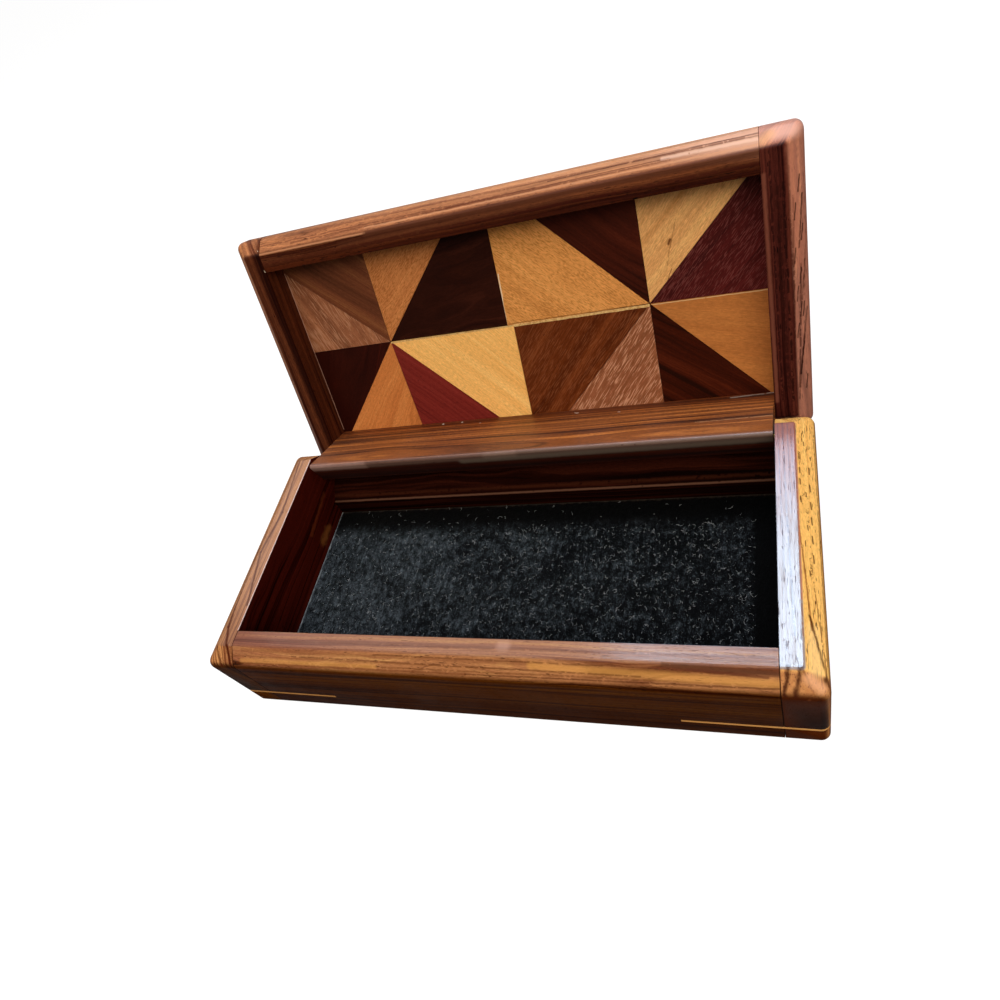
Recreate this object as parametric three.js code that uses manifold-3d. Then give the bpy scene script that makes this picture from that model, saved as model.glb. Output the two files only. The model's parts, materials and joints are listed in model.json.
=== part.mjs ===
// A wooden trinket box, open, with its lid leaning back on the cut edge of the back board.
// The lid's deep rear rail hangs between the two cheeks and turns on a pin in each cheek.
// Millimetres, +Z up, +X to the box's right, -Y to its front.
// The origin is the middle of the underside, so the box stands on z = 0.
import * as THREE from "three";
import { mergeVertices } from "three/addons/utils/BufferGeometryUtils.js";
import Module from "manifold-3d";

const wasm = await Module();
wasm.setup();

// The whole box
const boxWidth = 190;
const boxDepth = 88.5;
const baseHeight = 34.8;
const lidHeight = 16;
const meetingGap = 0.4; // between the rim and the closed lid

// The four walls of the base
const cheekThickness = 11.3; // the two side walls, which run the full depth
const frontThickness = 10.9;
const backThickness = 11.3;
const glueGap = 0.1; // left for the glue between fixed pieces

// The outer shape, seen from above and in section
const cornerRadius = 2.6; // of the upright corners
const baseBevelRun = 5.8; // the wide bevel round the rim
const baseBevelDrop = 4.3;
const lidBevelRun = 4.8; // the bevel round the lid's meeting face
const lidBevelDrop = 4;
const lidTopRadius = 6.5; // of the lid's upper edges
const footEase = 1; // the small bevel round the underside
const footRadius = 0.6;
const shoulderRadius = 3.2; // where a wide bevel meets an upright face
const brinkRadius = 0.8; // where a wide bevel meets a flat
const flatMargin = 1; // of flat kept beside each bevel before the section ends

// The floor and its lining
const floorThickness = 4.9;
const floorTongue = 4; // how far the floor panel is let into each wall
const cardThickness = 1.2;
const velvetThickness = 1.6;
const velvetRound = 0.7; // of the pile's upper edge
const liningClearance = 0.4; // between the lining and the walls
const liningCornerRadius = 1;

// The splines across the corners
const keyThickness = 1.2;
const keyLeg = 38; // along the front or the rear face
const keySideLeg = 30; // along the side face
const keyDepth = 8; // into each wall
const keyHeight = 8.8; // of the spline's middle plane above the underside
const keyGap = 0.1;

// The hinge
const pinRadius = 1.25;
const pinLength = 20;
const pinBevel = 0.3;
const pinSetback = 0.4; // of the pin's outer end from the cheek's face
const pinInset = 2.9; // of the pin's axis from the rear face
const pinDrop = 9.5; // of the pin's axis below the rim
const pinClearance = 0.15;
const pinEndClearance = 0.6;
const stopDrop = 4.5; // of the back board's rear edge below the pin's axis
const restGap = 0.12; // between the resting lid and the edge that it leans on
const cutGap = 0.45; // between the slanted cuts of the back board and the rear rail
const sideGap = 0.45; // between the rear rail's lower part and each cheek

// The lid's frame and its panel of wedges
const frontRailThickness = 10.9;
const rearRailThickness = 9.2;
const noseRadius = 3.5; // of the rear rail's lower front edge
const railEdgeRadius = 0.5;
const panelRecess = 10; // from the lid's meeting face to the panel
const wedgeThickness = 4.5;
const wedgeTongue = 3; // how far the wedges are let into the rails
const wedgeSeam = 0.1; // between two wedges
const wedgeClearance = 0.12; // between the wedges and their groove

// The fan pattern, in shares of the panel's width and depth from its front left corner:
// the hubs that the seams leave, then each row's seams from left to right, as the hub's
// name and the seam's end on the panel's edge
const hubShares = { left: [0.206, 0.497], middle: [0.5, 0.5], right: [0.784, 0.493] };
const frontSeamShares = [
  ["left", [0, 0.497]],
  ["left", [0, 0.045]],
  ["left", [0.206, 0]],
  ["left", [0.399, 0]],
  ["middle", [0.494, 0]],
  ["right", [0.594, 0]],
  ["right", [0.783, 0]],
  ["right", [0.985, 0]],
  ["right", [1, 0.5]],
];
const rearSeamShares = [
  ["left", [0, 0.497]],
  ["left", [0.022, 1]],
  ["left", [0.218, 1]],
  ["left", [0.416, 1]],
  ["middle", [0.494, 1]],
  ["right", [0.581, 1]],
  ["right", [0.785, 1]],
  ["right", [0.993, 1]],
  ["right", [1, 0.5]],
];

// Faceting and modelling
const cornerSteps = 6; // facets round an upright corner
const arcSteps = 4; // facets round an edge in section
const noseSteps = 10;
const roundSides = 24; // facets round a pin or its hole
const overrun = 5; // of a cutter past the piece that it cuts
const weldDistance = 0.001;

// Places worked out from the sizes above
const halfWidth = boxWidth / 2;
const rearY = boxDepth / 2;
const frontY = -rearY;
const innerHalf = halfWidth - cheekThickness; // from the middle to a cheek's inner face
const cavityFrontY = frontY + frontThickness;
const cavityRearY = rearY - backThickness;
const lidZ = baseHeight + meetingGap; // the closed lid's meeting face
const lidTopZ = lidZ + lidHeight;
const pinY = rearY - pinInset;
const pinZ = baseHeight - pinDrop;
const stopZ = pinZ - stopDrop;
const boardEnd = innerHalf - glueGap; // from the middle to the end of a board between two others
const panelFrontY = frontY + frontRailThickness;
const panelRearY = rearY - rearRailThickness;
const panelZ = lidZ + panelRecess; // the face of the wedges that shows inside the lid

// The slanted cut is square to the line from the pin to the back board's rear edge, so
// that the rail swings clear of it. The lid opens until its rear face meets that edge.
const cutSlope = Math.atan2(pinInset, stopDrop);
const stopReach = Math.hypot(pinInset, stopDrop);
const openAngle = Math.atan2(stopDrop, pinInset) + Math.acos((pinInset + restGap) / stopReach);

const finishes = {
  rim: new THREE.MeshStandardMaterial({ color: "#9c5a2c", roughness: 0.35, metalness: 0 }),
  lidFrame: new THREE.MeshStandardMaterial({ color: "#7a4226", roughness: 0.38, metalness: 0 }),
  rail: new THREE.MeshStandardMaterial({ color: "#6b3a22", roughness: 0.4, metalness: 0 }),
  floor: new THREE.MeshStandardMaterial({ color: "#a9835a", roughness: 0.7, metalness: 0 }),
  card: new THREE.MeshStandardMaterial({ color: "#3b3a38", roughness: 0.95, metalness: 0 }),
  velvet: new THREE.MeshStandardMaterial({ color: "#14181a", roughness: 1, metalness: 0 }),
  paleKey: new THREE.MeshStandardMaterial({ color: "#c99a5e", roughness: 0.4, metalness: 0 }),
  brass: new THREE.MeshStandardMaterial({ color: "#b08d4a", roughness: 0.3, metalness: 1 }),
};
const frontWoods = ["#7d4b2b", "#70401f", "#c98a4e", "#2b110b", "#c9924f", "#3a170e", "#d3a055", "#46150f"];
const rearWoods = ["#3a160c", "#b87a40", "#5a1712", "#d9b06a", "#6a3a20", "#8a5836", "#4a2313", "#cf9a4e"];
const wood = (color) => new THREE.MeshStandardMaterial({ color, roughness: 0.45, metalness: 0 });

// A closed geometry as a solid that can be joined and cut.
function solid(geometry) {
  geometry.deleteAttribute("normal");
  geometry.deleteAttribute("uv");
  const merged = mergeVertices(geometry, weldDistance);
  return new wasm.Manifold(
    new wasm.Mesh({
      numProp: 3,
      vertProperties: merged.attributes.position.array,
      triVerts: new Uint32Array(merged.index.array),
    }),
  );
}

// A solid as a named mesh in a group.
function addPiece(group, name, body, finish) {
  const { vertProperties, triVerts } = body.getMesh();
  const geometry = new THREE.BufferGeometry();
  geometry.setAttribute("position", new THREE.BufferAttribute(vertProperties, 3));
  geometry.setIndex(new THREE.BufferAttribute(triVerts, 1));
  geometry.computeVertexNormals();
  const mesh = new THREE.Mesh(geometry, finish);
  mesh.name = name;
  group.add(mesh);
  return mesh;
}

// A box between two places along each axis.
function block([x0, x1], [y0, y1], [z0, z1]) {
  const geometry = new THREE.BoxGeometry(Math.abs(x1 - x0), Math.abs(y1 - y0), Math.abs(z1 - z0));
  geometry.translate((x0 + x1) / 2, (y0 + y1) / 2, (z0 + z1) / 2);
  return solid(geometry);
}

// An outline with rounded corners. Each corner is its two coordinates, its radius and its
// number of facets. A corner with no radius stays as it is, so that the outline may also be
// an open line.
function rounded(corners) {
  return corners.flatMap(([u, v, radius, steps = arcSteps], index) => {
    const corner = new THREE.Vector2(u, v);
    if (radius === 0) return [corner];
    const towards = (step) => {
      const other = corners[(index + step + corners.length) % corners.length];
      return new THREE.Vector2(other[0], other[1]).sub(corner).normalize();
    };
    const back = towards(-1);
    const ahead = towards(1);
    const half = Math.acos(back.dot(ahead)) / 2;
    const centre = back.clone().add(ahead).setLength(radius / Math.sin(half)).add(corner);
    const start = back.clone().setLength(radius / Math.tan(half)).add(corner);
    const turn = Math.sign(ahead.cross(back)) * (Math.PI - 2 * half);
    return Array.from({ length: steps + 1 }, (_, step) =>
      start.clone().rotateAround(centre, (turn * step) / steps),
    );
  });
}

// An outline in Y and Z, drawn out along X.
function barAlongX(outline, [x0, x1]) {
  const geometry = new THREE.ExtrudeGeometry(new THREE.Shape(outline), {
    depth: x1 - x0,
    bevelEnabled: false,
  });
  const axes = [new THREE.Vector3(0, 1, 0), new THREE.Vector3(0, 0, 1), new THREE.Vector3(1, 0, 0)];
  geometry.applyMatrix4(new THREE.Matrix4().makeBasis(...axes));
  geometry.translate(x0, 0, 0);
  return solid(geometry);
}

// An outline in X and Y, drawn up along Z.
function plate(outline, [z0, z1]) {
  const geometry = new THREE.ExtrudeGeometry(new THREE.Shape(outline), {
    depth: z1 - z0,
    bevelEnabled: false,
  });
  geometry.translate(0, 0, z0);
  return solid(geometry);
}

// A rectangle with rounded corners, as points at one height.
function ring(halfX, halfY, radius, height) {
  return [0, 1, 2, 3].flatMap((corner) => {
    const signX = corner === 0 || corner === 3 ? 1 : -1;
    const signY = corner < 2 ? 1 : -1;
    return Array.from({ length: cornerSteps + 1 }, (_, step) => {
      const angle = (Math.PI / 2) * (corner + step / cornerSteps);
      return [
        signX * (halfX - radius) + radius * Math.cos(angle),
        signY * (halfY - radius) + radius * Math.sin(angle),
        height,
      ];
    });
  });
}

// A closed skin over a stack of rings that have the same number of points.
function loft(rings) {
  const count = rings[0].length;
  const points = rings.flat();
  const faces = [];
  for (let level = 0; level < rings.length - 1; level++) {
    for (let i = 0; i < count; i++) {
      const a = level * count + i;
      const b = level * count + ((i + 1) % count);
      faces.push(a, b, b + count, a, b + count, a + count);
    }
  }
  for (let i = 1; i < count - 1; i++) {
    const top = (rings.length - 1) * count;
    faces.push(0, i + 1, i);
    faces.push(top, top + i, top + i + 1);
  }
  const geometry = new THREE.BufferGeometry();
  geometry.setAttribute("position", new THREE.Float32BufferAttribute(points.flat(), 3));
  geometry.setIndex(faces);
  return solid(geometry);
}

// The outer shape of the base or the lid: the section gives an inset and a height for
// each ring, and the upright corners get tighter as the rings get smaller.
function outerShape(section, bevelRun) {
  return loft(
    section.map(({ x: inset, y: height }) => {
      const radius = (cornerRadius * bevelRun) / (bevelRun + 2 * inset);
      return ring(halfWidth - inset, boxDepth / 2 - inset, radius, height);
    }),
  );
}

function baseShape() {
  const section = rounded([
    [footEase + flatMargin, 0, 0],
    [footEase, 0, footRadius],
    [0, footEase, footRadius],
    [0, baseHeight - baseBevelDrop, shoulderRadius],
    [baseBevelRun, baseHeight, brinkRadius],
    [baseBevelRun + flatMargin, baseHeight, 0],
  ]);
  return outerShape(section, baseBevelRun);
}

function lidShape() {
  const section = rounded([
    [lidBevelRun + flatMargin, lidZ, 0],
    [lidBevelRun, lidZ, brinkRadius],
    [0, lidZ + lidBevelDrop, shoulderRadius],
    [0, lidTopZ, lidTopRadius],
    [lidTopRadius + flatMargin, lidTopZ, 0],
  ]);
  return outerShape(section, lidBevelRun);
}

// The slanted cut through the back wall: its height at a distance from the rear face.
function cutHeight(fromRear) {
  return stopZ - fromRear * Math.tan(cutSlope);
}

// The bottom board, or the rebate that takes it.
function floorBlock(gap) {
  const reachX = innerHalf + floorTongue + gap;
  return block(
    [-reachX, reachX],
    [cavityFrontY - floorTongue - gap, cavityRearY + floorTongue + gap],
    [gap === 0 ? 0 : -overrun, floorThickness + gap],
  );
}

// The blank of the spline for one corner, or the slot that takes it.
function keyBlock(signX, signY, gap) {
  const leg = keyLeg + gap;
  const sideLeg = keySideLeg + gap;
  const depth = keyDepth + gap;
  const outline = [
    [-overrun, -overrun],
    [leg, -overrun],
    [leg, depth],
    [depth, depth],
    [depth, sideLeg],
    [-overrun, sideLeg],
  ].map(([x, y]) => new THREE.Vector2(signX * (halfWidth - x), signY * (boxDepth / 2 - y)));
  const rise = keyThickness / 2 + gap;
  return plate(outline, [keyHeight - rise, keyHeight + rise]);
}

// The hole for one pin, from outside the cheek to a little past the pin's inner end.
function pinHole(side) {
  const radius = pinRadius + pinClearance;
  const depth = pinSetback + pinLength + pinEndClearance;
  const geometry = new THREE.CylinderGeometry(radius, radius, 2 * depth, roundSides);
  geometry.rotateZ(Math.PI / 2);
  geometry.translate(side * halfWidth, pinY, pinZ);
  return solid(geometry);
}

const pinHoles = pinHole(-1).add(pinHole(1));

const corners = {
  front_left: [-1, -1],
  front_right: [1, -1],
  rear_left: [-1, 1],
  rear_right: [1, 1],
};

const keySlots = Object.values(corners)
  .map(([signX, signY]) => keyBlock(signX, signY, keyGap))
  .reduce((all, slot) => all.add(slot));

// The base: four walls round a floor panel, with a card and velvet on it
function buildBase() {
  const base = new THREE.Group();
  const outside = baseShape();
  const cutters = floorBlock(glueGap).add(keySlots).add(pinHoles);
  const heights = [-overrun, baseHeight + overrun];

  for (const [name, side] of [["base_left_cheek", -1], ["base_right_cheek", 1]]) {
    const blank = block(
      [side * innerHalf, side * (halfWidth + overrun)],
      [frontY - overrun, rearY + overrun],
      heights,
    );
    addPiece(base, name, outside.intersect(blank).subtract(cutters), finishes.rim);
  }

  const frontBlank = block([-boardEnd, boardEnd], [frontY - overrun, cavityFrontY], heights);
  addPiece(base, "base_front_board", outside.intersect(frontBlank).subtract(cutters), finishes.rim);

  const backSection = [
    [cavityRearY, -overrun],
    [rearY + overrun, -overrun],
    [rearY + overrun, cutHeight(-overrun)],
    [cavityRearY, cutHeight(backThickness)],
  ].map(([y, z]) => new THREE.Vector2(y, z));
  const backBlank = barAlongX(backSection, [-boardEnd, boardEnd]);
  addPiece(base, "base_back_board", outside.intersect(backBlank).subtract(cutters), finishes.rim);

  addPiece(base, "floor_panel", floorBlock(0), finishes.floor);
  addLining(base);

  for (const [corner, [signX, signY]] of Object.entries(corners)) {
    const key = keyBlock(signX, signY, 0).intersect(outside);
    addPiece(base, "corner_key_" + corner, key, finishes.paleKey);
  }
  addPin(base, "hinge_pin_left", -1);
  addPin(base, "hinge_pin_right", 1);
  return base;
}

// The card on the floor and the velvet on the card, each in its own small frame
function addLining(base) {
  const halfX = innerHalf - liningClearance;
  const halfY = (cavityRearY - cavityFrontY) / 2 - liningClearance;
  const middleY = (cavityFrontY + cavityRearY) / 2;

  const cardRings = [0, cardThickness].map((height) => ring(halfX, halfY, liningCornerRadius, height));
  const card = addPiece(base, "lining_card", loft(cardRings), finishes.card);
  card.position.set(0, middleY, floorThickness + glueGap);

  const pileSection = rounded([
    [0, 0, 0],
    [0, velvetThickness, velvetRound],
    [velvetRound + flatMargin, velvetThickness, 0],
  ]);
  const pileRings = pileSection.map(({ x: inset, y: height }) => {
    const radius = (liningCornerRadius * velvetRound) / (velvetRound + inset);
    return ring(halfX - inset, halfY - inset, radius, height);
  });
  const velvet = addPiece(base, "velvet_lining", loft(pileRings), finishes.velvet);
  velvet.position.set(0, middleY, card.position.z + cardThickness + glueGap);
}

// A hinge pin, lathed along its own axis and laid along X
function addPin(base, name, side) {
  const profile = [
    [0, 0],
    [pinRadius - pinBevel, 0],
    [pinRadius, pinBevel],
    [pinRadius, pinLength - pinBevel],
    [pinRadius - pinBevel, pinLength],
    [0, pinLength],
  ].map(([radius, along]) => new THREE.Vector2(radius, along));
  const pin = new THREE.Mesh(new THREE.LatheGeometry(profile, roundSides), finishes.brass);
  pin.name = name;
  pin.rotation.z = (side * Math.PI) / 2;
  pin.position.set(side * (halfWidth - pinSetback), pinY, pinZ);
  base.add(pin);
}

// The lid's frame, drawn closed: two end rails with the front and rear rails between them.
// Below the rim the rear rail is trimmed at both ends, where it turns between the cheeks.
function addFrame(lid) {
  const outside = lidShape();
  const heights = [lidZ - overrun, lidTopZ + overrun];
  const reach = wedgeTongue + wedgeClearance;
  const groove = block(
    [-innerHalf - reach, innerHalf + reach],
    [panelFrontY - reach, panelRearY + reach],
    [panelZ - wedgeClearance, panelZ + wedgeThickness + wedgeClearance],
  );

  for (const [name, side] of [["lid_left_rail", -1], ["lid_right_rail", 1]]) {
    const blank = block(
      [side * innerHalf, side * (halfWidth + overrun)],
      [frontY - overrun, rearY + overrun],
      heights,
    );
    addPiece(lid, name, outside.intersect(blank).subtract(groove), finishes.lidFrame);
  }

  const frontBlank = block([-boardEnd, boardEnd], [frontY - overrun, panelFrontY], heights);
  const frontRail = outside.intersect(frontBlank).subtract(groove);
  addPiece(lid, "lid_front_rail", frontRail, finishes.lidFrame);

  const cutRise = cutGap / Math.cos(cutSlope);
  const section = rounded([
    [panelRearY, cutHeight(rearRailThickness) + cutRise, noseRadius, noseSteps],
    [rearY, cutHeight(0) + cutRise, railEdgeRadius],
    [rearY, lidTopZ, lidTopRadius],
    [panelRearY, lidTopZ, 0],
  ]);
  const blank = barAlongX(section, [-boardEnd, boardEnd]).subtract(groove).subtract(pinHoles);
  const rearRail = [-1, 1].reduce((rail, side) => {
    const cheekSide = [side * (innerHalf - sideGap), side * (innerHalf + overrun)];
    return rail.subtract(block(cheekSide, [panelRearY - overrun, rearY + overrun], [0, lidZ]));
  }, blank);
  addPiece(lid, "lid_rear_rail", rearRail, finishes.rail);
}

// What is left of a bulging outline on the left of the line from one point to another,
// once the line has been moved to its own left by a distance.
function trimmed(points, from, to, distance) {
  const along = to.clone().sub(from).normalize();
  const start = from.clone().addScaledVector(new THREE.Vector2(-along.y, along.x), distance);
  const side = (point) => along.cross(point.clone().sub(start));
  return points.flatMap((point, i) => {
    const next = points[(i + 1) % points.length];
    const [here, there] = [side(point), side(next)];
    const kept = here >= 0 ? [point] : [];
    if (here >= 0 !== there >= 0) kept.push(point.clone().lerp(next, here / (here - there)));
    return kept;
  });
}

// One row of wedges, in a frame with its origin at the panel's front left corner. Each wedge
// lies between two neighbouring seams, which leave a hub and end on the panel's edge.
function addWedges(panel, row, seams, woods) {
  const width = 2 * innerHalf;
  const depth = panelRearY - panelFrontY;
  const place = ([x, y]) => new THREE.Vector2(x * width, y * depth);
  const sheet = [
    [-wedgeTongue, -wedgeTongue],
    [width + wedgeTongue, -wedgeTongue],
    [width + wedgeTongue, depth + wedgeTongue],
    [-wedgeTongue, depth + wedgeTongue],
  ].map(([x, y]) => new THREE.Vector2(x, y));
  const lines = seams.map(([hub, end]) => ({ hub: place(hubShares[hub]), end: place(end) }));
  woods.forEach((color, i) => {
    const pair = [lines[i], lines[i + 1]];
    const [a, b] = row === "front" ? pair : pair.reverse();
    let outline = trimmed(sheet, a.hub, a.end, wedgeSeam / 2);
    outline = trimmed(outline, b.end, b.hub, wedgeSeam / 2);
    if (!a.hub.equals(b.hub)) outline = trimmed(outline, b.hub, a.hub, wedgeSeam / 2);
    addPiece(panel, row + "_wedge_" + (i + 1), plate(outline, [0, wedgeThickness]), wood(color));
  });
}

// The lid hangs on the pins: its group stands on their axis and is turned open
function buildLid() {
  const lid = new THREE.Group();
  lid.position.set(0, pinY, pinZ);
  lid.rotation.x = -openAngle;
  const closed = new THREE.Group();
  closed.position.set(0, -pinY, -pinZ);
  lid.add(closed);
  addFrame(closed);

  const panel = new THREE.Group();
  panel.position.set(-innerHalf, panelFrontY, panelZ);
  closed.add(panel);
  addWedges(panel, "front", frontSeamShares, frontWoods);
  addWedges(panel, "rear", rearSeamShares, rearWoods);
  return lid;
}

const trinketBox = new THREE.Group();
trinketBox.add(buildBase());
trinketBox.add(buildLid());

export default trinketBox;
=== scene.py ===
"""An open wooden trinket box: rosewood walls, a velvet floor and a lid of fanned wedges.

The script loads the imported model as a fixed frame, models the boards, the velvet and the small
details round it, and gives every surface a procedural finish. Lengths are metres, +Z is up.
"""

import json
import logging
import math
import random
from collections.abc import Callable, Iterable, Iterator
from contextlib import contextmanager
from dataclasses import dataclass, field, replace
from enum import Enum
from functools import cache

import bmesh
import bpy
from mathutils import Euler, Matrix, Vector


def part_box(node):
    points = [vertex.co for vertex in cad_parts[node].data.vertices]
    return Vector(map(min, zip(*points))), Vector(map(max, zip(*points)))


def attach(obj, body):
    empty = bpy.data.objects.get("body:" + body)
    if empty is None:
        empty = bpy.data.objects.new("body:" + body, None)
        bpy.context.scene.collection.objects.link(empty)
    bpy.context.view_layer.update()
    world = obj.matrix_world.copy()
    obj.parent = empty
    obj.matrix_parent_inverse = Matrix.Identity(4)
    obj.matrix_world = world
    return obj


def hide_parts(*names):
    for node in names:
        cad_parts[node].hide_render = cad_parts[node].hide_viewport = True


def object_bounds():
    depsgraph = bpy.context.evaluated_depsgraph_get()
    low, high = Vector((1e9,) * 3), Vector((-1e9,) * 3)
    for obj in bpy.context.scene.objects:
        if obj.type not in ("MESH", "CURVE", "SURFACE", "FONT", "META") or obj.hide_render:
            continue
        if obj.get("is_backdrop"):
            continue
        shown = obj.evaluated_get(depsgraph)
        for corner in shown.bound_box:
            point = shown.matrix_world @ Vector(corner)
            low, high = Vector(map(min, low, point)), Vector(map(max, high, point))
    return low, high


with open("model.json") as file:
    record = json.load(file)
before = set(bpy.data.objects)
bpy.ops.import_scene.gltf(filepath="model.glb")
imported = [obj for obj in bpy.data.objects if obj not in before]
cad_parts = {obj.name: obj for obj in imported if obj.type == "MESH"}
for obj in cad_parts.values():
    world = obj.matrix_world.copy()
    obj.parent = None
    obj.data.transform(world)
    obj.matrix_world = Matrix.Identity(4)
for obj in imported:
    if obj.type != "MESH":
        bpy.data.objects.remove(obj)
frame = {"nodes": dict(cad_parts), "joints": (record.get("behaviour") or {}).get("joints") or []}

MM = 0.001
NEAR = 0.02 * MM
LEVEL = 0.0001 * MM
WELD = 0.002 * MM
FLAT_DEGREES = 0.5
ARC_STEPS = 7
CORNER_STEPS = 8

log = logging.getLogger("trinket_box")


class Side(Enum):
    """The two ends of the box, by the sign of X."""

    LEFT = -1
    RIGHT = 1

    @property
    def word(self) -> str:
        """The side's name in node and piece names."""
        return self.name.lower()


def linear(code: str) -> tuple[float, float, float, float]:
    """Turns a colour as it looks on screen into the linear colour that shaders take.

    Args:
        code: the colour as "#rrggbb".

    Returns:
        Red, green, blue and alpha.
    """
    channels = [int(code[i : i + 2], 16) / 255 for i in (1, 3, 5)]
    curved = [c / 12.92 if c <= 0.04045 else ((c + 0.055) / 1.055) ** 2.4 for c in channels]
    return (*curved, 1.0)


class Graph:
    """Adds nodes to one node tree and joins them."""

    def __init__(self, tree: bpy.types.NodeTree) -> None:
        """Starts on an existing tree."""
        self.tree = tree

    def add(self, kind: str, **settings: object) -> bpy.types.Node:
        """Adds a node and sets its options.

        Args:
            kind: the node's type, without its "ShaderNode" prefix.
            settings: values for the node's own properties.

        Returns:
            The new node.
        """
        node = self.tree.nodes.new("ShaderNode" + kind)
        node.location = (40 * len(self.tree.nodes), 0)
        for name, value in settings.items():
            setattr(node, name, value)
        return node

    def feed(self, socket: bpy.types.NodeSocket, value: object) -> None:
        """Joins another socket to this one, or sets its value."""
        if isinstance(value, bpy.types.NodeSocket):
            self.tree.links.new(value, socket)
        else:
            socket.default_value = value

    def filled(self, kind: str, values: dict[object, object], **settings: object) -> bpy.types.Node:
        """Adds a node and feeds its inputs, each given by its name or its number."""
        node = self.add(kind, **settings)
        for key, value in values.items():
            self.feed(node.inputs[key], value)
        return node

    def math(self, operation: str, *values: object, clamp: bool = False) -> bpy.types.NodeSocket:
        """One step of arithmetic on numbers."""
        node = self.add("Math", operation=operation, use_clamp=clamp)
        for socket, value in zip(node.inputs, values):
            self.feed(socket, value)
        return node.outputs[0]

    def centred(self, value: object) -> bpy.types.NodeSocket:
        """A noise value with its middle moved from 0.5 to nought."""
        return self.math("SUBTRACT", value, 0.5)

    def vector(self, operation: str, *values: object) -> bpy.types.NodeSocket:
        """One step of arithmetic on vectors."""
        node = self.add("VectorMath", operation=operation)
        for socket, value in zip(node.inputs, values):
            self.feed(socket, value)
        return node.outputs["Value" if operation in ("LENGTH", "DOT_PRODUCT") else "Vector"]

    def scaled(self, place: object, factor: object) -> bpy.types.NodeSocket:
        """A place scaled alike in all directions."""
        return self.filled("VectorMath", {0: place, "Scale": factor}, operation="SCALE").outputs["Vector"]

    def stretched(self, place: object, along: float, across: float) -> bpy.types.NodeSocket:
        """A place scaled along X by one number and along Y and Z by another."""
        return self.vector("MULTIPLY", place, (along, across, across))

    def shifted(self, place: object, move: object, turn: object) -> bpy.types.NodeSocket:
        """A place as it was before a move and a turn."""
        values = {"Vector": place, "Location": move, "Rotation": turn}
        return self.filled("Mapping", values, vector_type="TEXTURE").outputs[0]

    def split(self, place: object) -> list[bpy.types.NodeSocket]:
        """The X, Y and Z of a place."""
        return list(self.filled("SeparateXYZ", {0: place}).outputs)

    def joined(self, *values: object) -> bpy.types.NodeSocket:
        """A place from its X, Y and Z."""
        return self.filled("CombineXYZ", dict(enumerate(values))).outputs[0]

    def mix(self, share: object, first: object, second: object, blend: str = "MIX") -> bpy.types.NodeSocket:
        """A colour between two colours."""
        values = {0: share, 6: first, 7: second}
        return self.filled("Mix", values, data_type="RGBA", blend_type=blend).outputs[2]

    def tint(self, share: object, first: object, second: object) -> bpy.types.NodeSocket:
        """A colour multiplied by another."""
        return self.mix(share, first, second, "MULTIPLY")

    def bump(self, height: object, strength: float, depth: float) -> bpy.types.NodeSocket:
        """The normal of a surface that rises and falls by a depth in millimetres."""
        values = {"Strength": strength, "Distance": depth * MM, "Height": height}
        return self.filled("Bump", values).outputs[0]

    def noise(self, place: object, detail: float = 2.0, roughness: float = 0.5) -> bpy.types.NodeSocket:
        """Smooth noise from 0 to 1, with one bump for each unit of place."""
        values = {"Scale": 1.0, "Detail": detail, "Roughness": roughness, "Vector": place}
        return self.filled("TexNoise", values, noise_dimensions="3D").outputs["Fac"]

    def between(self, value: object, low: object, high: object) -> bpy.types.NodeSocket:
        """A soft step from 0 at low to 1 at high."""
        values = {"Value": value, "From Min": low, "From Max": high}
        return self.filled("MapRange", values, interpolation_type="SMOOTHSTEP").outputs["Result"]


def new_group(name: str, inputs: dict[str, object], outputs: dict[str, str]) -> tuple[Graph, dict, dict]:
    """Starts a shader node group.

    Args:
        name: the group's name.
        inputs: each input's name and its value, whose kind gives the socket's kind.
        outputs: each output's name and kind of socket.

    Returns:
        The graph to build in, the group's inputs by name, and the sockets that feed its outputs.
    """
    tree = bpy.data.node_groups.new(name, "ShaderNodeTree")
    for title, value in inputs.items():
        size = len(value) if isinstance(value, tuple) else 1
        kind = {1: "NodeSocketFloat", 3: "NodeSocketVector", 4: "NodeSocketColor"}[size]
        socket = tree.interface.new_socket(title, in_out="INPUT", socket_type=kind)
        socket.default_value = value
    for title, kind in outputs.items():
        tree.interface.new_socket(title, in_out="OUTPUT", socket_type=kind)
    entry = tree.nodes.new("NodeGroupInput")
    leave = tree.nodes.new("NodeGroupOutput")
    given = {socket.name: socket for socket in entry.outputs if socket.name}
    wanted = {socket.name: socket for socket in leave.inputs if socket.name}
    return Graph(tree), given, wanted


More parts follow.
